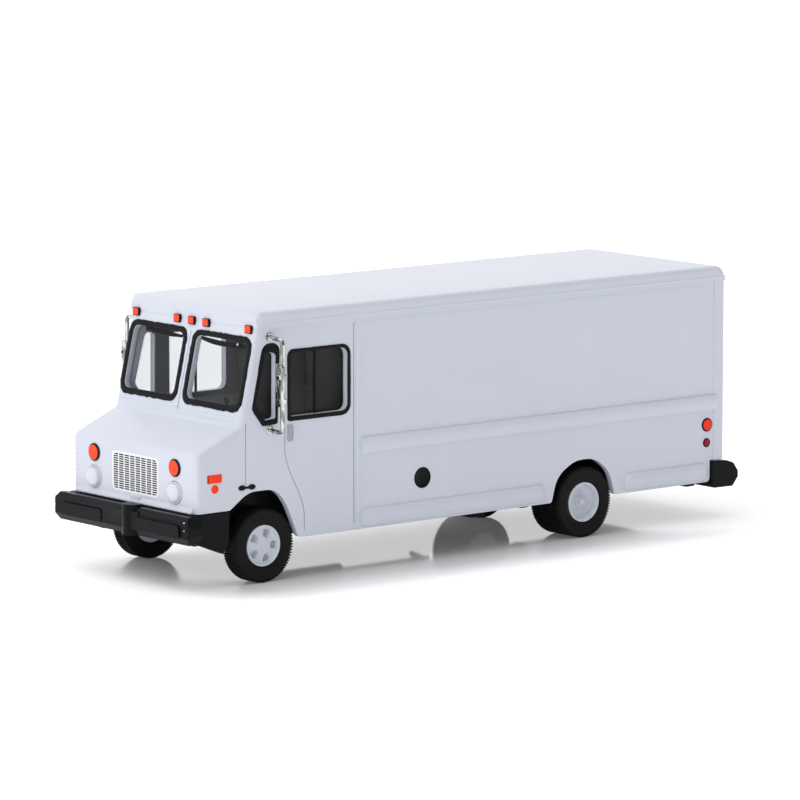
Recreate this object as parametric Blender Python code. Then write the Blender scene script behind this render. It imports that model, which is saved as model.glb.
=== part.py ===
"""A die-cast scale model of a walk-in mail delivery truck.

The front of the truck faces -Y, its driver's side is +X, and +Z is up. Sizes are in millimetres and
become metres in finish_piece. Stations along the truck count from the front axle, towards the rear;
the empty "truck" moves them so that the origin is the middle of the model's footprint, on the ground.
"""

import math

import bmesh
import bpy
from mathutils import Matrix, Vector

MM = 0.001

# Driving dimensions: the whole model
BODY_WIDTH = 36.7
ROOF_HEIGHT = 48.4
SILL_HEIGHT = 7.35
NOSE_OVERHANG = 15.0
WHEELBASE = 75.5
REAR_OVERHANG = 34.6
WALL = 1.2
EDGE_ROUND = 0.8

# Wheels and axles
TYRE_DIAMETER = 13.3
TYRE_WIDTH = 3.7
TYRE_BORE = 7.6
HUB_RIM_WIDTH = 3.0
DUAL_GAP = 0.5
PIN_DIAMETER = 1.2
WHEEL_INSET = 0.05
ROUND_SIDES = 36

# Nose, hood and windshield
NOSE_TOP = 24.2
NOSE_SILL = 13.75
COWL_STATION = -5.4
HOOD_BACK_HEIGHT = 28.3
WINDSHIELD_FOOT = 29.3
WINDSHIELD_RAKE = math.radians(13.0)
NOSE_ROUND = 1.6

# Roof cap
CAP_DEPTH = 2.85
CAP_PROUD = 0.3
CAP_ROUND = 0.9
CAP_BACK_ROUND = 2.1
CAP_FRONT_ROUND = 1.2
CAP_FRONT = 0.4
CAP_SEAT = 1.3

# Windows
PANE_HEIGHT = 11.5
PANE_FOOT = 2.55
PANE_CENTRE_POST = 1.75
PANE_CORNER_POST = 1.45
DOOR_WINDOW_FRONT = 5.85
DOOR_WINDOW_LENGTH = 13.0
DOOR_WINDOW_LOW = 29.25
DOOR_WINDOW_HEIGHT = 11.4
VENT_BACK = 2.6

# Ribs and rails on the sides
BELT_LOW = 21.16
BELT_HIGH = 24.03
BELT_PROUD = 0.55
RAIL_LOW = 7.8
RAIL_HIGH = 11.1
RAIL_PROUD = 0.5
RAIL_FRONT_GAP = 1.9
RAIL_BACK_GAP = 2.4
RAIL_ROUND = 0.42
BELT_BACK_GAP = 1.2
DOOR_POST_STATION = 20.7
DOOR_POST_WIDTH = 1.2
CORNER_STRIP_WIDTH = 2.3
STRIP_PROUD = 0.15
SEAM_WIDTH = 0.24
SEAM_DEPTH = 0.25

# Lamps and grille
LAMP_SPACING = 11.95
SIGNAL_HEIGHT = 21.35
SIGNAL_RADIUS = 1.55
HEADLAMP_HEIGHT = 16.95
HEADLAMP_RADIUS = 2.0
HEADLAMP_PROUD = 0.95
LAMP_RECESS = 0.7
GRILLE_WIDTH = 12.7
GRILLE_LOW = 15.5
GRILLE_HIGH = 22.4
GRILLE_DEPTH = 0.8
GRILLE_ROWS = 16
MARKER_DROP = 3.1
MARKER_PLACES = (-16.5, -4.25, 0.0, 4.25, 16.5)
MARKER_SIZE = (1.7, 1.3)
MARKER_PROUD = 0.45
FILLER_STATION = 36.3
FILLER_HEIGHT = 15.25
FILLER_RADIUS = 1.95

# Wheel arches
ARCH_HEADROOM = 3.35
REAR_ARCH_HEADROOM = 1.45
ARCH_FRONT_GAP = 1.05
ARCH_BACK_GAP = 1.0
REAR_ARCH_FRONT_GAP = 1.5
REAR_ARCH_BACK_GAP = 0.75
LINER_WALL = 0.9
WELL_GAP = 0.65

# Chassis
FLOOR_LOW = 8.3
FLOOR_THICKNESS = 1.2
RAIL_PLACE = 5.4
RAIL_THICKNESS = 1.6
RAIL_BOTTOM = 5.6
FIT_GAP = 0.12
PIN_GAP = 0.08
NOSE_BOX_PROUD = 0.9
REAR_SCREW_INSET = 9.0
SCREW_RADIUS = 0.9
SCREW_HEAD_RADIUS = 1.65
SCREW_HEAD_DEPTH = 0.8
SCREW_LENGTH = 5.5
SEAT_WALL = 1.2
POST_RADIUS = 1.9
FRONT_SPRING_LENGTH = 7.0
REAR_SPRING_LENGTH = 15.0
SPRING_DEPTH = 0.6
DIFFERENTIAL_RADIUS = 2.5

# Bumpers
BUMPER_OVERHANG = 1.95
BUMPER_FRONT = 18.2
BUMPER_LOW = 8.6
BUMPER_HIGH = 13.6
BUMPER_DEPTH = 1.8
BUMPER_RIB_PLACE = 2.2
BUMPER_RIB_RADIUS = 1.9
BUMPER_RIB_PROUD = 0.8
REAR_BUMPER_OVERHANG = 0.65
REAR_BUMPER_LENGTH = 6.8
REAR_BUMPER_LOW = 6.0
REAR_BUMPER_HIGH = 11.35
BUMPER_WRAP = 3.0
TONGUE_LOW = 10.6
TONGUE_THICKNESS = 1.0
TONGUE_HALF_WIDTH = 4.0

# Rear doors and their lamps
REAR_DOOR_HALF = 10.5
REAR_DOOR_LOW = 12.4
REAR_DOOR_HIGH = 42.4
REAR_LAMP_PLACE = 14.6
REAR_LAMPS = ((17.0, 1.3), (20.6, 1.3))

# Driveshaft and exhaust
SHAFT_FRONT = 6.0
SHAFT_HEIGHT = 6.7
SHAFT_RADIUS = 0.75
SHAFT_BACK_GAP = 2.2
EXHAUST_PLACE = 10.2
EXHAUST_HEIGHT = 6.3
EXHAUST_PEGS = (26.0, 38.0)
MUFFLER_RADIUS = 1.6
PEG_RADIUS = 0.6

# Cab interior
CAB_BACK = 21.8
TUB_THICKNESS = 1.0
SEAT_PLACE = 8.5
PANE_INSET = 0.95
GLASS_THICKNESS = 0.9

# Mirrors
MIRROR_REACH = 3.2
MIRROR_TUBE = 0.42
MIRROR_STATION = 1.2
MIRROR_PEG = 0.7
MIRROR_TOP = 43.9
MIRROR_BOTTOM = 27.3

# Sizes worked out from the driving dimensions
HALF_WIDTH = BODY_WIDTH / 2
CAVITY_HALF = HALF_WIDTH - WALL
BUMPER_HALF_WIDTH = HALF_WIDTH + BUMPER_OVERHANG
REAR_BUMPER_HALF_WIDTH = HALF_WIDTH + REAR_BUMPER_OVERHANG
TYRE_RADIUS = TYRE_DIAMETER / 2
REAR_FACE = WHEELBASE + REAR_OVERHANG
FLOOR_TOP = FLOOR_LOW + FLOOR_THICKNESS
CAP_LOW = ROOF_HEIGHT - CAP_DEPTH
BUMPER_BACK_END = REAR_FACE - BUMPER_WRAP + REAR_BUMPER_LENGTH
FRONT_END = -BUMPER_FRONT - BUMPER_RIB_PROUD
CENTRE_STATION = (FRONT_END + BUMPER_BACK_END) / 2
NOSE_BOX_FRONT = -NOSE_OVERHANG - NOSE_BOX_PROUD
NOSE_BOX_BACK = -TYRE_RADIUS - ARCH_FRONT_GAP
GRILLE_BACK = -NOSE_OVERHANG + GRILLE_DEPTH + 2 * FIT_GAP
FRONT_SCREW = max((NOSE_BOX_FRONT + NOSE_BOX_BACK) / 2, GRILLE_BACK + POST_RADIUS)
REAR_SCREW = REAR_FACE - REAR_SCREW_INSET
SHAFT_BACK = WHEELBASE - SHAFT_BACK_GAP
SCREW_SEAT = FLOOR_LOW + SCREW_HEAD_DEPTH + FIT_GAP
FRONT_ARCH_TOP = TYRE_DIAMETER + ARCH_HEADROOM
TUB_FLOOR = FRONT_ARCH_TOP + LINER_WALL + 3 * FIT_GAP
DOOR_WINDOW_TOP = DOOR_WINDOW_LOW + DOOR_WINDOW_HEIGHT
GLASS_LOW = DOOR_WINDOW_LOW - 0.8
GLASS_HIGH = CAP_LOW - 0.4

# Frames that turn a flat outline (u, v) and a depth w into the truck's X, Y and Z
SIDE = Matrix(((0, 0, 1, 0), (1, 0, 0, 0), (0, 1, 0, 0), (0, 0, 0, 1)))
FRONT = Matrix(((1, 0, 0, 0), (0, 0, -1, 0), (0, 1, 0, 0), (0, 0, 0, 1)))
PLAN = Matrix.Identity(4)


def windshield_station(height):
    """The station of the windshield's outer face at a height."""
    return COWL_STATION + (height - WINDSHIELD_FOOT) * math.tan(WINDSHIELD_RAKE)


def windshield_frame(depth=0.0):
    """The frame of the windshield's face: u across, v up the glass, w outwards, sunk by a depth."""
    up = Vector((0, math.sin(WINDSHIELD_RAKE), math.cos(WINDSHIELD_RAKE)))
    out = Vector((0, -math.cos(WINDSHIELD_RAKE), math.sin(WINDSHIELD_RAKE)))
    foot = Vector((0, COWL_STATION, WINDSHIELD_FOOT)) - out * depth
    columns = (Vector((1, 0, 0)), up, out, foot)
    return Matrix([[column[row] for column in columns] for row in range(3)] + [[0, 0, 0, 1]])


def rounded(corners, steps=3):
    """An outline from (u, v, radius) corners, each turned into an arc unless its radius is 0."""
    outline = []
    for index, (u, v, radius) in enumerate(corners):
        here = Vector((u, v))
        if radius == 0:
            outline.append((u, v))
            continue
        before = (Vector(corners[index - 1][:2]) - here).normalized()
        after = (Vector(corners[(index + 1) % len(corners)][:2]) - here).normalized()
        half = before.angle(after) / 2
        centre = here + (before + after).normalized() * radius / math.sin(half)
        start = here + before * radius / math.tan(half) - centre
        end = here + after * radius / math.tan(half) - centre
        first = math.atan2(start.y, start.x)
        turn = (math.atan2(end.y, end.x) - first + math.pi) % math.tau - math.pi
        for step in range(steps + 1):
            angle = first + turn * step / steps
            outline.append((centre.x + radius * math.cos(angle), centre.y + radius * math.sin(angle)))
    return outline


def rectangle(low_u, low_v, high_u, high_v, radius=0.0, steps=3):
    corners = ((low_u, low_v), (high_u, low_v), (high_u, high_v), (low_u, high_v))
    return rounded([(u, v, radius) for u, v in corners], steps)


def disc(centre_u, centre_v, radius, sides=24):
    angles = [math.tau * index / sides for index in range(sides)]
    return [(centre_u + radius * math.cos(a), centre_v + radius * math.sin(a)) for a in angles]


def inset(outline, distance):
    """An anticlockwise outline moved in by a distance, or out by a negative one."""
    moved = []
    for index, point in enumerate(outline):
        here = Vector(point)
        before = (here - Vector(outline[index - 1])).normalized()
        after = (Vector(outline[(index + 1) % len(outline)]) - here).normalized()
        inward = Vector((-before.y - after.y, before.x + after.x)).normalized()
        moved.append(tuple(here + inward * distance / inward.dot(Vector((-before.y, before.x)))))
    return moved


def mirrored(outline):
    """An outline's mirror image about u = 0, still anticlockwise."""
    return [(-u, v) for u, v in reversed(outline)]


def anticlockwise(outline):
    """An outline in anticlockwise order, whichever way it was drawn."""
    pairs = zip(outline, outline[1:] + outline[:1], strict=True)
    area = sum(a[0] * b[1] - b[0] * a[1] for a, b in pairs)
    return outline if area > 0 else outline[::-1]


def line_groove(points, width=SEAM_WIDTH):
    """A closed outline of one width along an open line of points."""
    sides = ([], [])
    for index, point in enumerate(points):
        here = Vector(point)
        ahead = Vector(points[min(index + 1, len(points) - 1)])
        behind = Vector(points[max(index - 1, 0)])
        along = (ahead - behind).normalized()
        across = Vector((along.y, -along.x)) * width / 2
        sides[0].append(tuple(here + across))
        sides[1].append(tuple(here - across))
    return sides[0] + sides[1][::-1]


def add_prism(mesh, outline, low, high, frame):
    """A closed outline run from one depth to another along its frame's third axis."""
    base = mesh.faces.new([mesh.verts.new(frame @ Vector((u, v, low))) for u, v in outline])
    top = bmesh.ops.extrude_face_region(mesh, geom=[base], use_keep_orig=True)["geom"]
    raised = [item for item in top if isinstance(item, bmesh.types.BMVert)]
    along = frame.to_3x3() @ Vector((0, 0, high - low))
    bmesh.ops.translate(mesh, verts=raised, vec=along)
    return raised


def add_box(mesh, low, high):
    outline = rectangle(low[0], low[1], high[0], high[1])
    return add_prism(mesh, outline, low[2], high[2], PLAN)


def add_turning(mesh, profile, sides=ROUND_SIDES):
    """A closed profile of (x, radius) points, none on the axis, turned a full circle about X."""
    points = [mesh.verts.new((x, 0, -radius)) for x, radius in profile]
    edges = [mesh.edges.new((a, b)) for a, b in zip(points, points[1:] + points[:1], strict=True)]
    bmesh.ops.spin(mesh, geom=points + edges, axis=(1, 0, 0), cent=(0, 0, 0), angle=math.tau,
                   steps=sides, use_merge=True)
    bmesh.ops.remove_doubles(mesh, verts=mesh.verts, dist=1e-4)


def add_tube(mesh, points, radius, sides=8):
    """A round bar along a line of points, with closed ends."""
    curve = bpy.data.curves.new("bar", "CURVE")
    curve.dimensions = "3D"
    curve.bevel_depth = radius
    curve.bevel_resolution = (sides - 4) // 2
    curve.use_fill_caps = True
    spline = curve.splines.new("POLY")
    spline.points.add(len(points) - 1)
    for point, place in zip(spline.points, points, strict=True):
        point.co = (*place, 1)
    guide = bpy.data.objects.new("bar", curve)
    shape = bpy.data.meshes.new_from_object(guide)
    mesh.from_mesh(shape)
    bmesh.ops.remove_doubles(mesh, verts=mesh.verts, dist=1e-4)
    bpy.data.objects.remove(guide)
    bpy.data.meshes.remove(shape)
    bpy.data.curves.remove(curve)


def bend(corners, steps=4):
    """A line through 3-D corners (x, y, z, radius), with an arc at each corner that has a radius."""
    line = []
    for index, (x, y, z, radius) in enumerate(corners):
        here = Vector((x, y, z))
        if radius == 0:
            line.append(tuple(here))
            continue
        before = (Vector(corners[index - 1][:3]) - here).normalized()
        after = (Vector(corners[index + 1][:3]) - here).normalized()
        reach = radius / math.tan(before.angle(after) / 2)
        for step in range(steps + 1):
            share = step / steps
            start, end = here + before * reach, here + after * reach
            line.append(tuple(start * (1 - share) ** 2 + here * 2 * share * (1 - share) + end * share**2))
    return line


def round_edges(mesh, wanted, width, segments=3):
    """Rounds each edge whose two ends the test accepts."""
    chosen = [edge for edge in mesh.edges if wanted(edge.verts[0].co, edge.verts[1].co)]
    bmesh.ops.bevel(mesh, geom=chosen, offset=width, offset_type="OFFSET", segments=segments,
                    profile=0.5, affect="EDGES", clamp_overlap=False, material=-1)


def paint(name, colour, roughness, metallic=0.0):
    material = bpy.data.materials.new(name)
    material.use_nodes = True
    shader = material.node_tree.nodes["Principled BSDF"]
    shader.inputs["Base Color"].default_value = (*colour, 1)
    shader.inputs["Roughness"].default_value = roughness
    shader.inputs["Metallic"].default_value = metallic
    return material


def finish_piece(name, mesh, parent, material=None):
    """Makes an object of a bmesh drawn in millimetres; without a material it is a hidden tool."""
    bmesh.ops.scale(mesh, vec=(MM, MM, MM), verts=mesh.verts)
    bmesh.ops.recalc_face_normals(mesh, faces=mesh.faces)
    data = bpy.data.meshes.new(name)
    mesh.to_mesh(data)
    mesh.free()
    piece = bpy.data.objects.new(name, data)
    bpy.context.scene.collection.objects.link(piece)
    piece.parent = parent
    if material is None:
        piece.hide_render = True
        piece.display_type = "WIRE"
    else:
        data.materials.append(material)
        data.shade_smooth()
        data.set_sharp_from_angle(angle=math.radians(35))
    return piece


def combine(piece, tool, operation):
    """Joins or cuts with a tool, whose own shapes may cross each other."""
    step = piece.modifiers.new(tool.name, "BOOLEAN")
    step.operation = operation
    step.solver = "EXACT"
    step.use_self = True
    step.object = tool


def tool(name, parent, *shapes):
    """A hidden tool made of prisms, each given as (outline, low, high, frame)."""
    mesh = bmesh.new()
    for shape in shapes:
        add_prism(mesh, *shape)
    return finish_piece(name, mesh, parent)


def both_sides(outline, low, high):
    """A side outline's two prisms, from one distance off the middle plane to another."""
    return (outline, low, high, SIDE), (outline, -high, -low, SIDE)


def front_arch_corners(gap=0.0):
    """The front wheel arch above the sill, from its back foot to its front; gap makes it smaller."""
    back = TYRE_RADIUS + ARCH_BACK_GAP - gap
    front = -TYRE_RADIUS - ARCH_FRONT_GAP + gap
    return [
        (back, SILL_HEIGHT, 1.2),
        (back - 2.6, TYRE_DIAMETER + 0.15 - gap, 9.0),
        (back - 5.0, FRONT_ARCH_TOP - gap, 4.2),
        (front + 4.1, FRONT_ARCH_TOP - gap, 5.5),
        (front, NOSE_SILL + 0.05, 0.5),
    ]


def rear_arch_corners(gap=0.0):
    """The rear wheel arch, as the front one."""
    back = WHEELBASE + TYRE_RADIUS + REAR_ARCH_BACK_GAP - gap
    front = WHEELBASE - TYRE_RADIUS - REAR_ARCH_FRONT_GAP + gap
    top = TYRE_DIAMETER + REAR_ARCH_HEADROOM - gap
    return [
        (back, SILL_HEIGHT, 0.6),
        (back - 1.3, top - 2.8, 5.5),
        (back - 5.0, top, 5.5),
        (front + 5.7, top, 6.5),
        (front + 1.25, top - 2.6, 5.5),
        (front, SILL_HEIGHT, 0.6),
    ]


def open_arch(corners):
    """An arch's outline with straight legs, for the wells and the room inside them."""
    first, last = corners[0], corners[-1]
    legs = [(last[0], -5, 0), (first[0], -5, 0)]
    return rounded(legs + [(first[0], first[1], 0)] + corners[1:-1] + [(last[0], last[1], 0)], 5)


def body_profile(depth=0.0):
    """The van's side profile, reaching below the sill, moved in by a depth."""
    header = CAP_LOW + CAP_SEAT
    outline = rounded((
        (REAR_FACE, 0, 0),
        (REAR_FACE, header, 0),
        (windshield_station(header), header, 0),
        (COWL_STATION, WINDSHIELD_FOOT, 0),
        (COWL_STATION - 0.1, HOOD_BACK_HEIGHT, 0.8),
        (-NOSE_OVERHANG, NOSE_TOP, NOSE_ROUND),
        (-NOSE_OVERHANG, 0, 0),
    ), 4)
    return inset(outline, depth) if depth else outline


def windshield_outline(gap=0.0):
    """The driver's pane, in the windshield's own frame; gap makes it smaller."""
    low, high = PANE_FOOT, PANE_FOOT + PANE_HEIGHT
    outline = rectangle(PANE_CENTRE_POST, low, HALF_WIDTH - PANE_CORNER_POST, high, 1.3)
    return inset(outline, gap)


def door_window_outline(gap=0.0):
    back = DOOR_WINDOW_FRONT + DOOR_WINDOW_LENGTH
    outline = rounded((
        (DOOR_WINDOW_FRONT, DOOR_WINDOW_LOW, 0.5),
        (back, DOOR_WINDOW_LOW, 1.4),
        (back, DOOR_WINDOW_TOP, 1.4),
        (DOOR_WINDOW_FRONT, DOOR_WINDOW_TOP, 0.7),
    ))
    return inset(outline, gap)


def vent_window_outline(gap=0.0):
    """The small window between the windshield's pillar and the door."""
    lean = math.tan(WINDSHIELD_RAKE)
    outline = rounded((
        (VENT_BACK - 2.5, DOOR_WINDOW_LOW - 0.2, 0.8),
        (VENT_BACK - 0.1, DOOR_WINDOW_LOW, 0.5),
        (VENT_BACK, DOOR_WINDOW_TOP + 0.1, 0.7),
        (VENT_BACK - 2.1, DOOR_WINDOW_TOP + 0.9, 1.0),
        (VENT_BACK - 2.2 - 10.3 * lean, DOOR_WINDOW_LOW + 2.8, 1.0),
    ))
    return inset(outline, gap)


def make_body_casting(truck, material):
    mesh = bmesh.new()
    add_prism(mesh, body_profile(), -HALF_WIDTH, HALF_WIDTH, SIDE)

    def outer_edge(a, b):
        across = abs(a.x) > HALF_WIDTH - 0.01 and (a.x - b.x) < 0.01 and (b.x - a.x) < 0.01
        return across and max(a.z, b.z) > 1

    round_edges(mesh, outer_edge, EDGE_ROUND)
    body = finish_piece("body_casting", mesh, truck, material)

    cap = bmesh.new()
    front = windshield_station(CAP_LOW + CAP_SEAT) - CAP_FRONT
    half = HALF_WIDTH + CAP_PROUD
    back = REAR_FACE + CAP_PROUD
    section = rounded(((front, CAP_LOW, 0), (back, CAP_LOW, 0), (back, ROOF_HEIGHT, CAP_BACK_ROUND),
                       (front, ROOF_HEIGHT, CAP_FRONT_ROUND)), 5)
    add_prism(cap, section, -half, half, SIDE)
    shoulder = ROOF_HEIGHT - max(CAP_BACK_ROUND, CAP_FRONT_ROUND) - 0.01

    def shoulder_edge(a, b):
        return abs(a.x - b.x) < 0.01 and a.z > shoulder and b.z > shoulder

    round_edges(cap, shoulder_edge, CAP_ROUND, 4)
    combine(body, finish_piece("roof_cap_tool", cap, truck), "UNION")

    combine(body, trim_tool(truck), "UNION")
    cavity = (body_profile(WALL), -CAVITY_HALF, CAVITY_HALF, SIDE)
    combine(body, tool("cavity_tool", truck, cavity), "DIFFERENCE")
    combine(body, tool("sill_tool", truck, (sill_outline(), -30, 30, SIDE)), "DIFFERENCE")
    combine(body, window_tool(truck, 0, CAVITY_HALF - 1, HALF_WIDTH + 2), "DIFFERENCE")
    combine(body, seam_tool(truck), "DIFFERENCE")
    combine(body, recess_tool(truck), "DIFFERENCE")
    post_low = SCREW_SEAT + SEAT_WALL + FIT_GAP
    posts = tool("post_tool", truck,
                 (disc(0, FRONT_SCREW, POST_RADIUS), post_low, NOSE_TOP, PLAN),
                 (disc(0, REAR_SCREW, POST_RADIUS), post_low, CAP_LOW + CAP_SEAT, PLAN))
    combine(body, posts, "UNION")
    holes = tool("post_hole_tool", truck,
                 (disc(0, FRONT_SCREW, SCREW_RADIUS + PIN_GAP, 16), 0, SCREW_SEAT + SCREW_LENGTH + 1, PLAN),
                 (disc(0, REAR_SCREW, SCREW_RADIUS + PIN_GAP, 16), 0, SCREW_SEAT + SCREW_LENGTH + 1, PLAN))
    combine(body, holes, "DIFFERENCE")
    return body


def sill_outline():
    """Everything below the body: the nose's sill, both arches, the sills and the bumper's notch."""
    notch = REAR_FACE - BUMPER_WRAP - FIT_GAP
    notch_top = REAR_BUMPER_HIGH + FIT_GAP
    corners = [(-40, -5, 0), (REAR_FACE + 20, -5, 0), (REAR_FACE + 20, notch_top, 0), (notch, notch_top, 0),
               (notch, SILL_HEIGHT, 0.8)]
    return rounded(corners + rear_arch_corners() + front_arch_corners() + [(-40, NOSE_SILL, 0)], 5)


def trim_tool(truck):
    """Raised detail on the body: belt ribs, rub rails, strips, lamp pads, rims and the nose's lip."""
    mesh = bmesh.new()
    back_edge = REAR_FACE - BELT_BACK_GAP
    front_rail_end = WHEELBASE - TYRE_RADIUS - REAR_ARCH_FRONT_GAP - RAIL_FRONT_GAP
    back_rail_start = WHEELBASE + TYRE_RADIUS + REAR_ARCH_BACK_GAP + RAIL_BACK_GAP
    start = DOOR_POST_STATION + DOOR_POST_WIDTH + 0.15
    ribs = (
        (rectangle(start, BELT_LOW, back_edge, BELT_HIGH, 0.6), BELT_PROUD),
        (rectangle(start, RAIL_LOW, front_rail_end, RAIL_HIGH, 0.9), RAIL_PROUD),
        (rectangle(back_rail_start, RAIL_LOW, REAR_FACE - BUMPER_WRAP - 1.1, RAIL_HIGH, 0.9), RAIL_PROUD),
    )
    for outline, proud in ribs:
        for side in (-1, 1):
            near, far = sorted((side * (HALF_WIDTH - 0.4), side * (HALF_WIDTH + proud)))
            add_prism(mesh, outline, near, far, SIDE)
    outer = HALF_WIDTH + min(BELT_PROUD, RAIL_PROUD) - 0.01
    round_edges(mesh, lambda a, b: min(abs(a.x), abs(b.x)) > outer, RAIL_ROUND)
    post = rectangle(DOOR_POST_STATION, SILL_HEIGHT - 1, DOOR_POST_STATION + DOOR_POST_WIDTH, CAP_LOW + 0.2)
    corner = rectangle(REAR_FACE - CORNER_STRIP_WIDTH, SILL_HEIGHT - 1, REAR_FACE, CAP_LOW + 0.2)
    for strip in (post, corner):
        for prism in both_sides(strip, HALF_WIDTH - 0.4, HALF_WIDTH + STRIP_PROUD):
            add_prism(mesh, *prism)
    add_front_trim(mesh)
    add_rear_trim(mesh)
    return finish_piece("trim_tool", mesh, truck)


def add_front_trim(mesh):
    """Lamp pads and rims, the hood catch and the lip along the nose's lower edge."""
    for side in (-1, 1):
        rim = disc(side * LAMP_SPACING, SIGNAL_HEIGHT, SIGNAL_RADIUS)
        add_prism(mesh, rim, NOSE_OVERHANG - 0.5, NOSE_OVERHANG + 0.25, FRONT)
    catch = rectangle(-0.9, GRILLE_LOW - 1.15, 1.9, GRILLE_LOW - 0.55)
    add_prism(mesh, catch, NOSE_OVERHANG - 0.5, NOSE_OVERHANG + 0.3, FRONT)
    lip = ((-NOSE_OVERHANG + 0.4, NOSE_SILL - 0.5), (-NOSE_OVERHANG + 0.4, NOSE_SILL + 1.0),
           (-NOSE_OVERHANG - 0.02, NOSE_SILL + 1.0), (-NOSE_OVERHANG - 0.5, NOSE_SILL + 0.25),
           (-NOSE_OVERHANG - 0.5, NOSE_SILL - 0.5))
    add_prism(mesh, lip, -HALF_WIDTH + 1.2, HALF_WIDTH - 1.2, SIDE)
    header = -windshield_station(ROOF_HEIGHT - MARKER_DROP)
    for place in MARKER_PLACES:
        height = ROOF_HEIGHT - MARKER_DROP
        pad = rectangle(place - MARKER_SIZE[0] / 2, height - MARKER_SIZE[1] / 2,
                        place + MARKER_SIZE[0] / 2, height + MARKER_SIZE[1] / 2)
        add_prism(mesh, pad, header - 0.6, header + MARKER_PROUD, FRONT)


def add_rear_trim(mesh):
    """The rear doors' hinges and handle, and the pads of the rear lamps."""
    back = -REAR_FACE
    door = REAR_DOOR_HALF
    for side in (-1, 1):
        for height in (15.5, 27.0, 38.5):
            place = side * (door + 0.2)
            hinge = rectangle(place - 1.1, height - 0.5, place + 1.1, height + 0.5)
            add_prism(mesh, hinge, back - 0.3, back + 0.5, FRONT)
        for height, radius in REAR_LAMPS:
            pad = disc(side * REAR_LAMP_PLACE, height, radius, 20)
            add_prism(mesh, pad, back - 0.3, back + 0.5, FRONT)
    handle = rectangle(0.5, 19.0, 1.1, 31.0)
    add_prism(mesh, handle, back - 0.45, back + 0.5, FRONT)
    for place in MARKER_PLACES:
        pad = rectangle(place - MARKER_SIZE[0] / 2, CAP_LOW - 1.7, place + MARKER_SIZE[0] / 2, CAP_LOW - 0.5)
        add_prism(mesh, pad, back - 0.35, back + 0.5, FRONT)


def window_tool(truck, gap, low, high):
    """The windows' openings, or with a gap the panes that fill them."""
    name = "window_tool" if gap == 0 else "pane_tool"
    glass = windshield_frame()
    pane = windshield_outline(gap)
    depth = WALL + 1 if gap == 0 else WALL + FIT_GAP + 0.3
    shapes = [(pane, -depth, high - HALF_WIDTH, glass), (mirrored(pane), -depth, high - HALF_WIDTH, glass)]
    for outline in (door_window_outline(gap), vent_window_outline(gap)):
        shapes += both_sides(outline, low, high)
    return tool(name, truck, *shapes)


def seam_tool(truck):
    """Cuts for the panel lines: hood, doors and rear doors."""
    inner = HALF_WIDTH - SEAM_DEPTH
    hood = line_groove([(-4.2, NOSE_SILL + 4.2), (-4.2, WINDSHIELD_FOOT - 0.4)])
    door_low = SILL_HEIGHT + 1.2
    sweep = [share / 8 for share in range(9)]
    curve = [(4.6 + 4.4 * t * t * (3 - 2 * t), 23.5 - 12.5 * t) for t in sweep]
    door_front = line_groove([(4.6, 28.0)] + curve + [(9.0, door_low)])
    door_back = line_groove([(DOOR_POST_STATION - 0.4, door_low), (DOOR_POST_STATION - 0.4, CAP_LOW - 0.7)])
    shapes = []
    for outline in (hood, door_front, door_back):
        shapes += both_sides(outline, inner, HALF_WIDTH + 2)
    back = -REAR_FACE
    door = REAR_DOOR_HALF
    for line in (
        [(-door, REAR_DOOR_LOW), (-door, REAR_DOOR_HIGH)],
        [(door, REAR_DOOR_LOW), (door, REAR_DOOR_HIGH)],
        [(0, REAR_DOOR_LOW), (0, REAR_DOOR_HIGH)],
        [(-door - 0.1, REAR_DOOR_HIGH), (door + 0.1, REAR_DOOR_HIGH)],
    ):
        shapes.append((line_groove(line), back - 2, back + SEAM_DEPTH, FRONT))
    glass = windshield_frame()
    shapes.append((line_groove([(0, 0.3), (0, PANE_FOOT + PANE_HEIGHT + 0.4)]), -SEAM_DEPTH, 2, glass))
    return tool("seam_tool", truck, *shapes)


def recess_tool(truck):
    """Seats for the grille and the headlamps, the filler's pocket and the holes for the mirrors."""
    grille = rectangle(-GRILLE_WIDTH / 2, GRILLE_LOW, GRILLE_WIDTH / 2, GRILLE_HIGH, 1.0)
    shapes = [(grille, NOSE_OVERHANG - GRILLE_DEPTH - FIT_GAP, NOSE_OVERHANG + 1, FRONT)]
    for side in (-1, 1):
        seat = disc(side * LAMP_SPACING, HEADLAMP_HEIGHT, HEADLAMP_RADIUS + FIT_GAP)
        shapes.append((seat, NOSE_OVERHANG - LAMP_RECESS - FIT_GAP, NOSE_OVERHANG + 1, FRONT))
    filler = disc(FILLER_STATION, FILLER_HEIGHT, FILLER_RADIUS)
    shapes += both_sides(filler, HALF_WIDTH - 0.4, HALF_WIDTH + 2)
    for height in (MIRROR_BOTTOM, MIRROR_TOP):
        foot = disc(MIRROR_STATION, height, MIRROR_TUBE + FIT_GAP, 12)
        shapes += both_sides(foot, HALF_WIDTH - MIRROR_PEG - FIT_GAP, HALF_WIDTH + 2)
    return tool("recess_tool", truck, *shapes)


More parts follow.
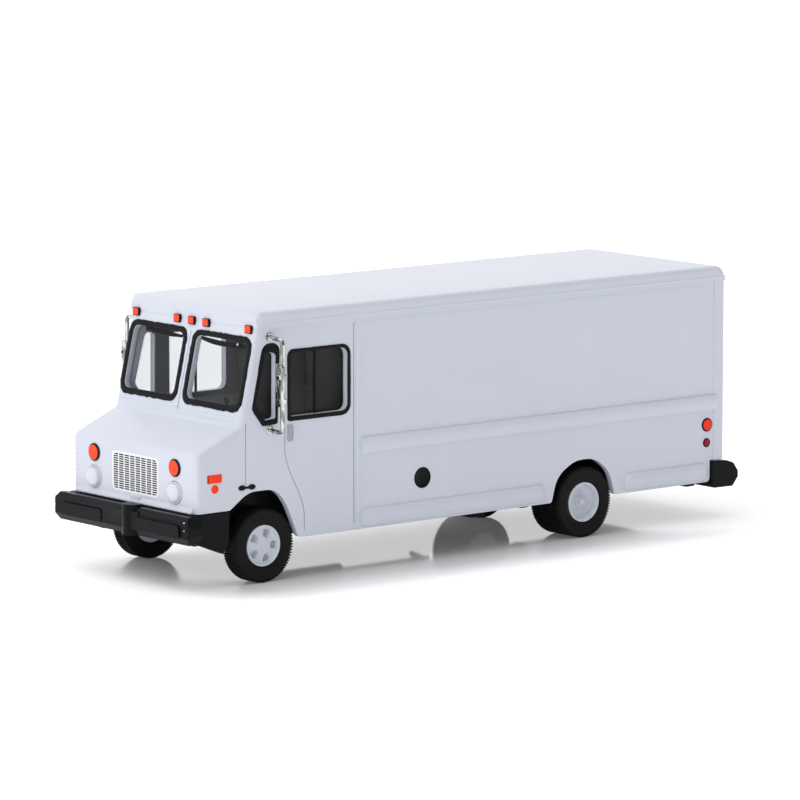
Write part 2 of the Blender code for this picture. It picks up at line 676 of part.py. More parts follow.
def make_window_insert(truck, material):
    """The clear moulding behind the cab's windows, with a raised pane in each opening."""
    mesh = bmesh.new()
    sink = WALL + FIT_GAP

    def cab_outline(depth, back, low, high):
        lean = depth / math.cos(WINDSHIELD_RAKE)
        return [(windshield_station(low) + lean, low), (back, low), (back, high),
                (windshield_station(high) + lean, high)]

    half = HALF_WIDTH - sink
    add_prism(mesh, cab_outline(sink, CAB_BACK + 0.8, GLASS_LOW, GLASS_HIGH), -half, half, SIDE)
    insert = finish_piece("window_insert", mesh, truck, material)
    hollow = cab_outline(sink + GLASS_THICKNESS, CAB_BACK + 5, GLASS_LOW - 5, GLASS_HIGH + 5)
    inner = half - GLASS_THICKNESS
    combine(insert, tool("insert_hollow_tool", truck, (hollow, -inner, inner, SIDE)), "DIFFERENCE")
    panes = window_tool(truck, FIT_GAP, half - 0.4, HALF_WIDTH - PANE_INSET)
    combine(insert, panes, "UNION")
    return insert


def make_grille(truck, material):
    mesh = bmesh.new()
    face = inset(rectangle(-GRILLE_WIDTH / 2, GRILLE_LOW, GRILLE_WIDTH / 2, GRILLE_HIGH, 1.0), FIT_GAP)
    add_prism(mesh, face, NOSE_OVERHANG - GRILLE_DEPTH, NOSE_OVERHANG, FRONT)
    grille = finish_piece("grille_insert", mesh, truck, material)
    pitch = (GRILLE_HIGH - GRILLE_LOW - 0.8) / GRILLE_ROWS
    slots = []
    for row in range(GRILLE_ROWS):
        height = GRILLE_LOW + 0.4 + pitch * (row + 0.5)
        slot = rectangle(-GRILLE_WIDTH / 2 + 1.0, height - pitch * 0.25,
                         GRILLE_WIDTH / 2 - 1.0, height + pitch * 0.25)
        slots.append((slot, NOSE_OVERHANG - 0.35, NOSE_OVERHANG + 1, FRONT))
    combine(grille, tool("grille_slot_tool", truck, *slots), "DIFFERENCE")


def make_headlamp(name, side, truck, material):
    """A domed lens in its seat. The turning is about X, so it is turned to face forward."""
    mesh = bmesh.new()
    radius = HEADLAMP_RADIUS
    dome = [(HEADLAMP_PROUD * math.sin(a), radius * math.cos(a) ** 0.6) for a in
            [math.radians(angle) for angle in (0, 22, 44, 62, 76)]]
    profile = [(-LAMP_RECESS, radius)] + dome
    outline = [(x, r) for x, r in profile]
    edge = [mesh.verts.new((x, 0, -r)) for x, r in outline]
    lines = [mesh.edges.new((a, b)) for a, b in zip(edge, edge[1:])]
    bmesh.ops.spin(mesh, geom=edge + lines, axis=(1, 0, 0), cent=(0, 0, 0), angle=math.tau,
                   steps=24, use_merge=True)
    bmesh.ops.remove_doubles(mesh, verts=mesh.verts, dist=1e-4)
    bmesh.ops.holes_fill(mesh, edges=mesh.edges, sides=0)
    turn = Matrix.Rotation(math.radians(-90), 4, "Z")
    place = Matrix.Translation((side * LAMP_SPACING, -NOSE_OVERHANG, HEADLAMP_HEIGHT))
    bmesh.ops.transform(mesh, matrix=place @ turn, verts=mesh.verts)
    finish_piece(name, mesh, truck, material)


def make_chassis_base(truck, material):
    """The black base: floor, wheel wells, frame rails, nose box, screw bosses and bumper tongues."""
    half = CAVITY_HALF - FIT_GAP
    back = REAR_FACE - BUMPER_WRAP - 2 * FIT_GAP
    mesh = bmesh.new()
    nose_back = NOSE_BOX_BACK
    add_box(mesh, (-half, nose_back - 1, FLOOR_LOW), (half, back, FLOOR_TOP))
    base = finish_piece("chassis_base", mesh, truck, material)

    nose_front = NOSE_BOX_FRONT
    nose_half = HALF_WIDTH - 0.15
    nose_box = rounded((
        (nose_front, BUMPER_LOW + 0.2, 0), (nose_back - 1.4, SILL_HEIGHT - 1.2, 0),
        (nose_back - 0.2, SILL_HEIGHT + 1.0, 0), (nose_back, NOSE_SILL - FIT_GAP, 0),
        (nose_front, NOSE_SILL - FIT_GAP, 0),
    ))
    combine(base, tool("nose_box_tool", truck, (nose_box, -nose_half, nose_half, SIDE)), "UNION")
    wheel = HALF_WIDTH - WHEEL_INSET - TYRE_WIDTH
    dual = wheel - DUAL_GAP - TYRE_WIDTH
    wells = []
    for corners, inner in ((front_arch_corners(-LINER_WALL), wheel), (rear_arch_corners(-LINER_WALL), dual)):
        shell = [point for point in open_arch(corners) if point[1] > FLOOR_LOW]
        low = [(shell[-1][0], FLOOR_LOW), (shell[0][0], FLOOR_LOW)]
        wells += both_sides(low + shell, inner - WELL_GAP - LINER_WALL, half)
    combine(base, tool("well_tool", truck, *wells), "UNION")
    block = []
    for side in (-1, 1):
        place = side * RAIL_PLACE
        rail = rectangle(place - RAIL_THICKNESS / 2, nose_back + 1.2, place + RAIL_THICKNESS / 2, back - 1.5)
        block.append((rail, RAIL_BOTTOM, FLOOR_LOW + 0.3, PLAN))
        hanger = rectangle(side * 12 - 2.5, back - 2.4, side * 12 + 2.5, back - 0.2)
        block.append((hanger, SILL_HEIGHT - 1.25, FLOOR_LOW + 0.3, PLAN))
    tank = rectangle(10.0, WHEELBASE - 24.0, 14.0, WHEELBASE - 20.6, 0.6)
    block.append((tank, SILL_HEIGHT - 1.65, FLOOR_LOW + 0.3, PLAN))
    for station in (FRONT_SCREW, REAR_SCREW):
        block.append((disc(0, station, SCREW_HEAD_RADIUS + 0.75), FLOOR_LOW, SCREW_SEAT + SEAT_WALL, PLAN))
    rear_tongue = rectangle(-TONGUE_HALF_WIDTH, back - 1, TONGUE_HALF_WIDTH, back + 2.4)
    front_tongue = rectangle(-TONGUE_HALF_WIDTH, nose_front - 1.0, TONGUE_HALF_WIDTH, nose_front + 1)
    block.append((rear_tongue, FLOOR_LOW + 0.2, FLOOR_TOP - 0.2, PLAN))
    block.append((front_tongue, TONGUE_LOW, TONGUE_LOW + TONGUE_THICKNESS, PLAN))
    combine(base, tool("rail_tool", truck, *block), "UNION")
    cuts = []
    for corners, inner in ((front_arch_corners(), wheel), (rear_arch_corners(), dual)):
        cuts += both_sides(open_arch(corners), inner - WELL_GAP, HALF_WIDTH + 2)
    combine(base, tool("wheel_room_tool", truck, *cuts), "DIFFERENCE")
    hollow = rectangle(-nose_half + WALL, nose_front + WALL, nose_half - WALL, nose_back - WALL)
    under = rectangle(-nose_half + WALL, nose_front - 2, nose_half - WALL, nose_back + 1)
    slots = [(hollow, FLOOR_TOP, NOSE_SILL + 5, PLAN), (under, 0, FLOOR_LOW - 0.02, PLAN)]
    for station in (0, WHEELBASE):
        width = PIN_DIAMETER / 2 + PIN_GAP
        slot = rounded(((station - width, 0, 0), (station + width, 0, 0),
                        (station + width, TYRE_RADIUS + width, width * 0.98),
                        (station - width, TYRE_RADIUS + width, width * 0.98)), 6)
        slots.append((slot, -RAIL_PLACE - 2, RAIL_PLACE + 2, SIDE))
    for station in (FRONT_SCREW, REAR_SCREW):
        slots.append((disc(0, station, SCREW_RADIUS + FIT_GAP, 16), 0, FLOOR_TOP + 6, PLAN))
    combine(base, tool("slot_tool", truck, *slots), "DIFFERENCE")
    heads = [(disc(0, station, SCREW_HEAD_RADIUS + FIT_GAP), 0, SCREW_SEAT, PLAN)
             for station in (FRONT_SCREW, REAR_SCREW)]
    pegs = [(disc(0, station, PEG_RADIUS + FIT_GAP, 12), FLOOR_LOW - 1, FLOOR_TOP + 1, PLAN)
            for station in (SHAFT_FRONT + 3, SHAFT_BACK - 8)]
    pegs += [(disc(-EXHAUST_PLACE, station, PEG_RADIUS + FIT_GAP, 12), FLOOR_LOW - 1, FLOOR_TOP + 1, PLAN)
             for station in EXHAUST_PEGS]
    combine(base, tool("head_tool", truck, *heads, *pegs), "DIFFERENCE")


def make_suspension(name, station, spring_length, truck, material, differential):
    """Leaf springs and an axle beam in one moulding, with a saddle that holds the pin in each slot."""
    mesh = bmesh.new()
    pin_low = TYRE_RADIUS - PIN_DIAMETER / 2 - PIN_GAP
    spring_top = RAIL_BOTTOM - FIT_GAP
    beam = rectangle(station - 0.9, spring_top - SPRING_DEPTH - 0.25, station + 0.9, pin_low, 0.25, 2)
    between = RAIL_PLACE - RAIL_THICKNESS / 2 - FIT_GAP
    add_prism(mesh, beam, -between, between, SIDE)
    piece = finish_piece(name, mesh, truck, material)
    length = spring_length / 2
    spring = ((station - length, spring_top - 0.35), (station - length + 1.5, spring_top - SPRING_DEPTH),
              (station + length - 1.5, spring_top - SPRING_DEPTH), (station + length, spring_top - 0.35),
              (station + length, spring_top), (station - length, spring_top))
    saddle = PIN_DIAMETER / 2 + PIN_GAP - FIT_GAP / 2
    shapes = []
    for side in (-1, 1):
        inner, outer = sorted((side * (RAIL_PLACE - RAIL_THICKNESS / 2 - 0.6), side * (RAIL_PLACE + 0.7)))
        seat = rectangle(station - saddle, spring_top - 0.2, station + saddle, pin_low)
        shapes += [(spring, inner, outer, SIDE), (seat, inner, outer, SIDE)]
    combine(piece, tool(name + "_spring_tool", truck, *shapes), "UNION")
    if differential:
        ball = bmesh.new()
        bmesh.ops.create_icosphere(ball, subdivisions=2, radius=DIFFERENTIAL_RADIUS)
        flat = 0.55
        place = Matrix.Translation((0, station, pin_low - DIFFERENTIAL_RADIUS * flat))
        bmesh.ops.transform(ball, matrix=place @ Matrix.Diagonal((1, 1, flat, 1)), verts=ball.verts)
        combine(piece, finish_piece(name + "_ball_tool", ball, truck), "UNION")


def make_driveshaft(truck, material):
    """The gearbox and propeller shaft moulding, pegged into the floor."""
    mesh = bmesh.new()
    half = RAIL_PLACE - RAIL_THICKNESS / 2 - 0.6
    low, high = SHAFT_HEIGHT - 1.5, FLOOR_LOW - FIT_GAP
    gearbox = rounded(((-half + 0.9, low, 0.5), (half - 0.9, low, 0.5), (half, SHAFT_HEIGHT, 0.5),
                       (half, high, 0), (-half, high, 0), (-half, SHAFT_HEIGHT, 0.5)), 2)
    add_prism(mesh, gearbox, -SHAFT_FRONT - 8, -SHAFT_FRONT, FRONT)
    shaft = finish_piece("driveshaft", mesh, truck, material)
    shapes = [(disc(0, SHAFT_HEIGHT, SHAFT_RADIUS, 14), -SHAFT_BACK, -SHAFT_FRONT - 7, FRONT)]
    for station in (SHAFT_FRONT + 3, SHAFT_BACK - 8):
        shapes.append((disc(0, station, PEG_RADIUS, 12), SHAFT_HEIGHT, FLOOR_TOP - 0.2, PLAN))
    combine(shaft, tool("shaft_tool", truck, *shapes), "UNION")
    joints = [(disc(0, SHAFT_HEIGHT, SHAFT_RADIUS + 0.35, 14), -station - 1.2, -station, FRONT)
              for station in (SHAFT_FRONT + 8.4, SHAFT_BACK - 1.6)]
    combine(shaft, tool("shaft_joint_tool", truck, *joints), "UNION")


def make_exhaust(truck, material):
    """The muffler and tailpipe moulding, pegged into the floor beside the right rail."""
    mesh = bmesh.new()
    muffler = disc(-EXHAUST_PLACE, EXHAUST_HEIGHT, MUFFLER_RADIUS, 20)
    add_prism(mesh, muffler, -EXHAUST_PEGS[1] - 2, -EXHAUST_PEGS[0] + 2, FRONT)
    round_edges(mesh, lambda a, b: abs(a.y - b.y) < 0.01, 0.35, 2)
    exhaust = finish_piece("exhaust_system", mesh, truck, material)
    pipe = bmesh.new()
    end = WHEELBASE - TYRE_RADIUS - 8.0
    add_tube(pipe, bend(((-EXHAUST_PLACE, EXHAUST_PEGS[0] - 6, EXHAUST_HEIGHT, 0),
                         (-EXHAUST_PLACE, end, EXHAUST_HEIGHT, 3.0),
                         (-HALF_WIDTH + 2.6, end + 1.0, EXHAUST_HEIGHT - 0.2, 0))), 0.55)
    combine(exhaust, finish_piece("pipe_tool", pipe, truck), "UNION")
    pegs = [(disc(-EXHAUST_PLACE, station, PEG_RADIUS, 12), EXHAUST_HEIGHT, FLOOR_TOP - 0.2, PLAN)
            for station in EXHAUST_PEGS]
    combine(exhaust, tool("exhaust_peg_tool", truck, *pegs), "UNION")


def make_front_bumper(truck, material):
    """A faceted bar with cut corners, a centre pad and a half-round rib."""
    mesh = bmesh.new()
    front, back = -BUMPER_FRONT, -BUMPER_FRONT + BUMPER_DEPTH
    section = ((front, BUMPER_LOW + 1.25), (front + 0.75, BUMPER_LOW), (back, BUMPER_LOW),
               (back, BUMPER_HIGH), (front + 0.7, BUMPER_HIGH), (front, BUMPER_HIGH - 0.9))
    add_prism(mesh, section, -BUMPER_HALF_WIDTH, BUMPER_HALF_WIDTH, SIDE)
    bumper = finish_piece("front_bumper", mesh, truck, material)
    half = BUMPER_HALF_WIDTH
    returns = []
    for side in (-1, 1):
        inner, outer = sorted((side * (HALF_WIDTH + FIT_GAP), side * half))
        end = rectangle(back - 0.5, BUMPER_LOW + 0.4, back + 1.3, BUMPER_HIGH - 0.25)
        returns.append((end, inner, outer, SIDE))
    combine(bumper, tool("bumper_return_tool", truck, *returns), "UNION")
    corners = []
    for side in (-1, 1):
        for edge, sign in ((BUMPER_HIGH, 1), (BUMPER_LOW, -1)):
            wedge = [(side * (half - 1.25), edge + sign * 0.02), (side * (half + 0.02), edge - sign * 1.9),
                     (side * (half + 3), edge - sign * 1.9), (side * (half + 3), edge + sign * 3),
                     (side * (half - 1.25), edge + sign * 3)]
            corners.append((anticlockwise(wedge), -back - 3, BUMPER_FRONT + 2, FRONT))
    combine(bumper, tool("bumper_corner_tool", truck, *corners), "DIFFERENCE")
    plan_cuts = []
    for side in (-1, 1):
        cut = [(side * (half - 0.6), front - 0.02), (side * (half - 0.6), front - 3),
               (side * (half + 3), front - 3), (side * (half + 3), front + 0.5),
               (side * (half + 0.02), front + 0.5)]
        plan_cuts.append((anticlockwise(cut), 0, 20, PLAN))
    combine(bumper, tool("bumper_plan_tool", truck, *plan_cuts), "DIFFERENCE")
    pad = bmesh.new()
    middle = rectangle(front - 0.25, BUMPER_LOW + 1.0, back - 0.5, BUMPER_HIGH - 0.6)
    add_prism(pad, middle, -5.5, 5.6, SIDE)
    round_edges(pad, lambda a, b: max(a.y, b.y) < front, 0.2, 2)
    combine(bumper, finish_piece("bumper_pad_tool", pad, truck), "UNION")
    rib = disc(BUMPER_RIB_PLACE, front - BUMPER_RIB_PROUD + BUMPER_RIB_RADIUS, BUMPER_RIB_RADIUS, 28)
    rib = [(x, min(y, back - 0.02)) for x, y in rib if y < back + 0.6]
    rib_prism = (rib, BUMPER_LOW - 0.05, BUMPER_HIGH + 0.45, PLAN)
    combine(bumper, tool("bumper_rib_tool", truck, rib_prism), "UNION")
    pocket = rectangle(-TONGUE_HALF_WIDTH - FIT_GAP, back - 1.1, TONGUE_HALF_WIDTH + FIT_GAP, back + 3)
    pocket_prism = (pocket, TONGUE_LOW - FIT_GAP, TONGUE_LOW + TONGUE_THICKNESS + FIT_GAP, PLAN)
    combine(bumper, tool("bumper_pocket_tool", truck, pocket_prism), "DIFFERENCE")


def make_rear_bumper(truck, material):
    """A deep bar that wraps the body's lower corners, with a pocket for the base's tongue."""
    mesh = bmesh.new()
    start = REAR_FACE - BUMPER_WRAP
    end = BUMPER_BACK_END
    low, high = REAR_BUMPER_LOW, REAR_BUMPER_HIGH
    section = ((start, low + 0.9), (start + 0.6, low + 0.1), (end - 1.4, low), (end, low + 1.7),
               (end, low + 2.9), (end - 1.2, high - 0.8), (end - 3.0, high - 0.2), (start, high))
    add_prism(mesh, section, -REAR_BUMPER_HALF_WIDTH, REAR_BUMPER_HALF_WIDTH, SIDE)
    bumper = finish_piece("rear_bumper", mesh, truck, material)
    half = TONGUE_HALF_WIDTH + FIT_GAP
    pocket = rectangle(-half, start - 1, half, start + 2.4 + FIT_GAP)
    tongue = (pocket, FLOOR_LOW + 0.2 - FIT_GAP, FLOOR_TOP - 0.2 + FIT_GAP, PLAN)
    combine(bumper, tool("rear_pocket_tool", truck, tongue), "DIFFERENCE")


def make_mirror(name, side, truck, material):
    """A bent bar with two feet in the body and a flat oblong head, in one moulding."""
    mesh = bmesh.new()
    out = HALF_WIDTH + MIRROR_REACH
    foot = HALF_WIDTH - MIRROR_PEG
    y = MIRROR_STATION
    line = bend(((foot, y, MIRROR_TOP, 0), (out, y + 0.5, MIRROR_TOP - 0.3, 1.1),
                 (out, y + 0.4, MIRROR_BOTTOM - 0.3, 1.1), (foot, y, MIRROR_BOTTOM, 0)))
    add_tube(mesh, [(side * px, py, pz) for px, py, pz in line], MIRROR_TUBE)
    mirror = finish_piece(name, mesh, truck, material)
    head = bmesh.new()
    low, high = sorted((side * (out - 1.2), side * (out + 1.0)))
    face = rectangle(low, 31.8, high, 39.3, 0.6)
    add_prism(head, face, -y - 0.8, -y - 0.05, FRONT)
    combine(mirror, finish_piece(name + "_head_tool", head, truck), "UNION")


def make_interior(truck, tub_material, wheel_material):
    """The cab's tub with its bulkhead, dash and engine cover, the driver's seat and the wheel."""
    half = CAVITY_HALF - GLASS_THICKNESS - 3 * FIT_GAP
    top = TUB_FLOOR + TUB_THICKNESS
    front = COWL_STATION - 2.5
    mesh = bmesh.new()
    add_box(mesh, (-half, front, TUB_FLOOR), (half, CAB_BACK, top))
    tub = finish_piece("interior_tub", mesh, truck, tub_material)
    bulkhead = rectangle(-half, TUB_FLOOR + 0.5, half, GLASS_HIGH - 0.3)
    shapes = [(bulkhead, -CAB_BACK, -CAB_BACK + TUB_THICKNESS, FRONT)]
    foot = WINDSHIELD_FOOT
    dash = rounded(((front, top - 0.5, 0), (front + 3.4, top - 0.5, 0), (front + 4.6, foot - 5.2, 0.5),
                    (front + 4.2, foot - 3.2, 0.5), (front, foot - 4.6, 0)))
    shapes.append((dash, -half, half, SIDE))
    cover = rounded(((front + 3, top - 0.5, 0), (front + 13, top - 0.5, 0), (front + 12, top + 5.0, 0.8),
                     (front + 3, top + 6.0, 0)))
    shapes.append((cover, -3.4, 3.4, SIDE))
    combine(tub, tool("tub_tool", truck, *shapes[:1]), "UNION")
    combine(tub, tool("dash_tool", truck, shapes[1]), "UNION")
    combine(tub, tool("cover_tool", truck, shapes[2]), "UNION")
    doorway = rectangle(-3.6, top, 3.6, GLASS_HIGH - 3.5)
    combine(tub, tool("doorway_tool", truck, (doorway, -CAB_BACK - 1, -CAB_BACK + 3, FRONT)), "DIFFERENCE")

    seat = bmesh.new()
    cushion = rounded(((10.2, top + FIT_GAP, 0), (15.0, top + FIT_GAP, 0), (15.2, top + 5.2, 0.4),
                       (17.6, top + 13.6, 0.7), (16.2, top + 14.0, 0.7), (13.8, top + 7.0, 0.5),
                       (9.2, top + 7.2, 0.8), (9.2, top + 5.2, 0.4), (10.2, top + 4.6, 0)))
    add_prism(seat, cushion, SEAT_PLACE - 3.1, SEAT_PLACE + 3.1, SIDE)
    finish_piece("driver_seat", seat, truck, tub_material)

    wheel = bmesh.new()
    profile = disc(0, 2.6, 0.32, 8)
    add_turning(wheel, profile, 28)
    tilt = Matrix.Rotation(math.radians(-118), 4, "Y")
    lean = Matrix.Rotation(math.radians(90), 4, "Z")
    centre = Vector((SEAT_PLACE, front + 8.3, WINDSHIELD_FOOT + 0.2))
    turn = Matrix.Translation(centre) @ lean @ tilt
    bmesh.ops.transform(wheel, matrix=turn, verts=wheel.verts)
    rim = finish_piece("steering_wheel", wheel, truck, wheel_material)
    axis = (turn.to_3x3() @ Vector((1, 0, 0))).normalized()
    if axis.y > 0:
        axis = -axis
    column = bmesh.new()
    reach = 3.0
    add_tube(column, [tuple(centre - axis * 0.3), tuple(centre + axis * reach)], 0.45)
    combine(rim, finish_piece("column_tool", column, truck), "UNION")
    across = (turn.to_3x3() @ Vector((0, 1, 0))).normalized()
    spokes = bmesh.new()
    add_tube(spokes, [tuple(centre - across * 2.6), tuple(centre + across * 2.6)], 0.24)
    combine(rim, finish_piece("spoke_tool", spokes, truck), "UNION")


def make_screw(name, station, truck, material):
    mesh = bmesh.new()
    low = SCREW_SEAT - FIT_GAP
    add_prism(mesh, disc(0, station, SCREW_HEAD_RADIUS), low - SCREW_HEAD_DEPTH, low, PLAN)
    screw = finish_piece(name, mesh, truck, material)
    shank = (disc(0, station, SCREW_RADIUS, 16), low - 0.3, low + SCREW_LENGTH, PLAN)
    combine(screw, tool(name + "_shank_tool", truck, shank), "UNION")
    slots = [(rectangle(-1.1, station - 0.2, 1.1, station + 0.2), 0, low - SCREW_HEAD_DEPTH + 0.35, PLAN)]
    combine(screw, tool(name + "_slot_tool", truck, *slots), "DIFFERENCE")


def tyre_profile():
    """Half a tyre's section as (distance from its middle, radius): tread, shoulder, wall and bead."""
    half = TYRE_WIDTH / 2
    return ((-half, TYRE_RADIUS - 1.1), (-half + 0.45, TYRE_RADIUS), (half - 0.45, TYRE_RADIUS),
            (half, TYRE_RADIUS - 1.1), (half - 0.15, TYRE_BORE / 2 + 0.1), (half - 0.55, TYRE_BORE / 2),
            (-half + 0.55, TYRE_BORE / 2), (-half + 0.15, TYRE_BORE / 2 + 0.1))


def make_tyre(name, place, axle, material):
    """A tyre whose facets, not its corners, lie at its radius, with one facet flat on the ground."""
    mesh = bmesh.new()
    add_turning(mesh, tyre_profile())
    half_step = math.pi / ROUND_SIDES
    grow = 1 / math.cos(half_step)
    bmesh.ops.scale(mesh, vec=(1, grow, grow), verts=mesh.verts)
    turn = Matrix.Rotation(half_step, 4, "X")
    bmesh.ops.transform(mesh, matrix=Matrix.Translation((place, 0, 0)) @ turn, verts=mesh.verts)
    finish_piece(name, mesh, axle, material)


def hub_profile(style):
    """A hub's section as (x, radius), with its outer face towards +X."""
    half = HUB_RIM_WIDTH / 2
    rim = TYRE_BORE / 2 - PIN_GAP
    lip = rim - 0.35
    bore = PIN_DIAMETER / 2 + PIN_GAP / 2
    faces = {
        "front": ((half + 0.15, lip), (half - 0.35, lip - 0.35), (half - 0.2, 1.6), (half + 0.35, 1.3),
                  (half + 0.35, bore)),
        "dished": ((half + 0.15, lip), (-half + 1.0, lip - 0.6), (-half + 1.0, 1.7), (-half + 1.6, 1.4),
                   (-half + 1.6, bore)),
        "plain": ((half, lip), (half - 0.5, lip - 0.4), (half - 0.5, bore)),
    }
    return ((-half, bore), (-half, rim), (half + (0.15 if style != "plain" else 0), rim)) + faces[style]


def make_hub(name, place, side, style, axle, material):
    mesh = bmesh.new()
    add_turning(mesh, hub_profile(style), 32)
    turn = Matrix.Rotation(0 if side > 0 else math.pi, 4, "Z")
    bmesh.ops.transform(mesh, matrix=Matrix.Translation((place, 0, 0)) @ turn, verts=mesh.verts)
    hub = finish_piece(name, mesh, axle, material)
    if style != "front":
        return
    low, high = sorted((place + side * 0.7, place + side * 4))
    windows = []
    for index in range(5):
        angle = math.tau * index / 5 + math.radians(18)
        windows.append((disc(2.45 * math.cos(angle), 2.45 * math.sin(angle), 0.62, 12), low, high, SIDE))
    combine(hub, tool(name + "_window_tool", axle, *windows), "DIFFERENCE")


def make_wheels(axle, prefix, wheels, rubber, plastic):
    """The tyres and hubs of one axle, as (name, distance of the tyre's middle, hub style)."""
    for name, distance, style in wheels:
        for side, label in ((1, "left"), (-1, "right")):
            make_tyre(f"{prefix}_{name}tyre_{label}", side * distance, axle, rubber)
            make_hub(f"{prefix}_{name}hub_{label}", side * distance, side, style, axle, plastic)


def make_axle_pin(name, length, axle, material):
    mesh = bmesh.new()
    add_prism(mesh, disc(0, 0, PIN_DIAMETER / 2, 16), -length / 2, length / 2, SIDE)
    finish_piece(name, mesh, axle, material)


def add_empty(name, location, parent=None):
    empty = bpy.data.objects.new(name, None)
    bpy.context.scene.collection.objects.link(empty)
    empty.location = location
    empty.parent = parent
    return empty


def build():
    for old in list(bpy.data.objects):
        bpy.data.objects.remove(old)
    truck = add_empty("truck", (0, -CENTRE_STATION * MM, 0))
    front_axle = add_empty("front_axle", (0, 0, TYRE_RADIUS * MM), truck)
    rear_axle = add_empty("rear_axle", (0, WHEELBASE * MM, TYRE_RADIUS * MM), truck)

    make_body_casting(truck, paint("white_enamel", (0.78, 0.8, 0.84), 0.25))
    make_window_insert(truck, paint("clear_plastic", (0.85, 0.87, 0.88), 0.05))
    make_grille(truck, paint("grille_plastic", (0.6, 0.62, 0.64), 0.3))
    lens = paint("pearl_plastic", (0.85, 0.87, 0.9), 0.15)
    make_headlamp("headlamp_left", 1, truck, lens)
    make_headlamp("headlamp_right", -1, truck, lens)
    black = paint("black_plastic", (0.02, 0.021, 0.023), 0.45)
    make_chassis_base(truck, black)
    make_suspension("front_suspension", 0, FRONT_SPRING_LENGTH, truck, black, False)
    make_suspension("rear_suspension", WHEELBASE, REAR_SPRING_LENGTH, truck, black, True)
    make_driveshaft(truck, black)
    make_exhaust(truck, paint("grey_plastic", (0.3, 0.31, 0.32), 0.4))
    make_front_bumper(truck, black)
    make_rear_bumper(truck, black)
    chrome = paint("chrome_plate", (0.85, 0.85, 0.86), 0.08, 1)
    make_mirror("mirror_left", 1, truck, chrome)
    make_mirror("mirror_right", -1, truck, chrome)
    make_interior(truck, paint("grey_tub", (0.1, 0.105, 0.11), 0.5), black)
    steel = paint("screw_steel", (0.55, 0.55, 0.56), 0.3, 1)
    make_screw("base_screw_front", FRONT_SCREW, truck, steel)
    make_screw("base_screw_rear", REAR_SCREW, truck, steel)

    rubber = paint("tyre_rubber", (0.014, 0.014, 0.015), 0.7)
    hubs = paint("hub_plastic", (0.75, 0.77, 0.82), 0.3)
    outer = HALF_WIDTH - WHEEL_INSET - TYRE_WIDTH / 2
    inner = outer - TYRE_WIDTH - DUAL_GAP
    length = 2 * (outer + HUB_RIM_WIDTH / 2 - 0.2)
    make_wheels(front_axle, "front", [("", outer, "front")], rubber, hubs)
    make_wheels(rear_axle, "rear", [("outer_", outer, "dished"), ("inner_", inner, "plain")], rubber, hubs)
    make_axle_pin("front_axle_pin", length, front_axle, steel)
    make_axle_pin("rear_axle_pin", length, rear_axle, steel)


build()
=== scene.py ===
"""The looks of a die-cast model of a walk-in mail delivery truck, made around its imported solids.

Shapes are drawn in millimetres and become metres in finish_piece. Stations along the truck count from
the front axle, towards the rear. The truck faces -Y, its driver's side is +X, and +Z is up.
"""

import math

import bmesh
import bpy
from mathutils import Matrix, Vector, noise


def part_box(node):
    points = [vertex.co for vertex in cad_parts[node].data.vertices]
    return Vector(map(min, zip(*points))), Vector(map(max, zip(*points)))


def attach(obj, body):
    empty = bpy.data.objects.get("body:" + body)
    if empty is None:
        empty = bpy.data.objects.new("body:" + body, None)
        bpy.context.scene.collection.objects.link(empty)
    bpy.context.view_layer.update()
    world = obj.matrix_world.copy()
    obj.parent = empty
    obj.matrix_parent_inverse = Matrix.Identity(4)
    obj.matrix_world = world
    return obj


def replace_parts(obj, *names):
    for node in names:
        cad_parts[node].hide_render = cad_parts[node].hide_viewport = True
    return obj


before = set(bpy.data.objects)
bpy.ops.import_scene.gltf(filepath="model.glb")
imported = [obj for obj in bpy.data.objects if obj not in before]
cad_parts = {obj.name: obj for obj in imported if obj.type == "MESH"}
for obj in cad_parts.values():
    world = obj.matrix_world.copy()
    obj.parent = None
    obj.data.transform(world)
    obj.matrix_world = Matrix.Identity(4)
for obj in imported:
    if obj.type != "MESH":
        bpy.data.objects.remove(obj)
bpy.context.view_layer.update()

MM = 0.001
noise.seed_set(7)  # the seals' printed edges stray the same way every time


def low(node):
    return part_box(node)[0] / MM


def high(node):
    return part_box(node)[1] / MM


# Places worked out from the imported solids
FRONT_AXLE = (low("front_axle_pin").y + high("front_axle_pin").y) / 2
REAR_AXLE = (low("rear_axle_pin").y + high("rear_axle_pin").y) / 2
WHEELBASE = REAR_AXLE - FRONT_AXLE
AXLE_HEIGHT = (low("front_axle_pin").z + high("front_axle_pin").z) / 2
PANEL = high("front_tyre_left").x + 0.05
NOSE = low("grille_insert").y - FRONT_AXLE
ROOF = high("body_casting").z
HANDLE_PROUD = 0.45
REAR = high("body_casting").y - HANDLE_PROUD - FRONT_AXLE
LAMP_PLACE = (low("headlamp_left").x + high("headlamp_left").x) / 2
HEADLAMP_HEIGHT = (low("headlamp_left").z + high("headlamp_left").z) / 2
HEADLAMP_RADIUS = (high("headlamp_left").z - low("headlamp_left").z) / 2
TYRE_WIDTH = high("front_tyre_left").x - low("front_tyre_left").x
TYRE_RADIUS = AXLE_HEIGHT
HUB_RADIUS = (high("front_hub_left").z - low("front_hub_left").z) / 2

# The body's lines, as the solids have them
COWL_STATION = -5.4
WINDSHIELD_FOOT = 29.3
RAKE = math.radians(13.0)
CAP_LOW = 45.55
CAP_PROUD = 0.3
SILL = 7.35
BELT_LOW = 21.16
POST_STATION = 20.7
POST_WIDTH = 1.2
CORNER_STRIP = 2.3
STRIP_PROUD = 0.15
PANE_SINK = 0.95

# The openings in the body
PANE = (1.75, 2.55, PANEL - 1.45, 14.05, 1.3)
DOOR_WINDOW = (5.85, 29.25, 18.85, 40.65)
VENT_WINDOW = ((0.1, 29.05, 0.8), (2.5, 29.25, 0.5), (2.6, 40.75, 0.7), (0.5, 41.55, 1.0), (-1.98, 32.05, 1.0))

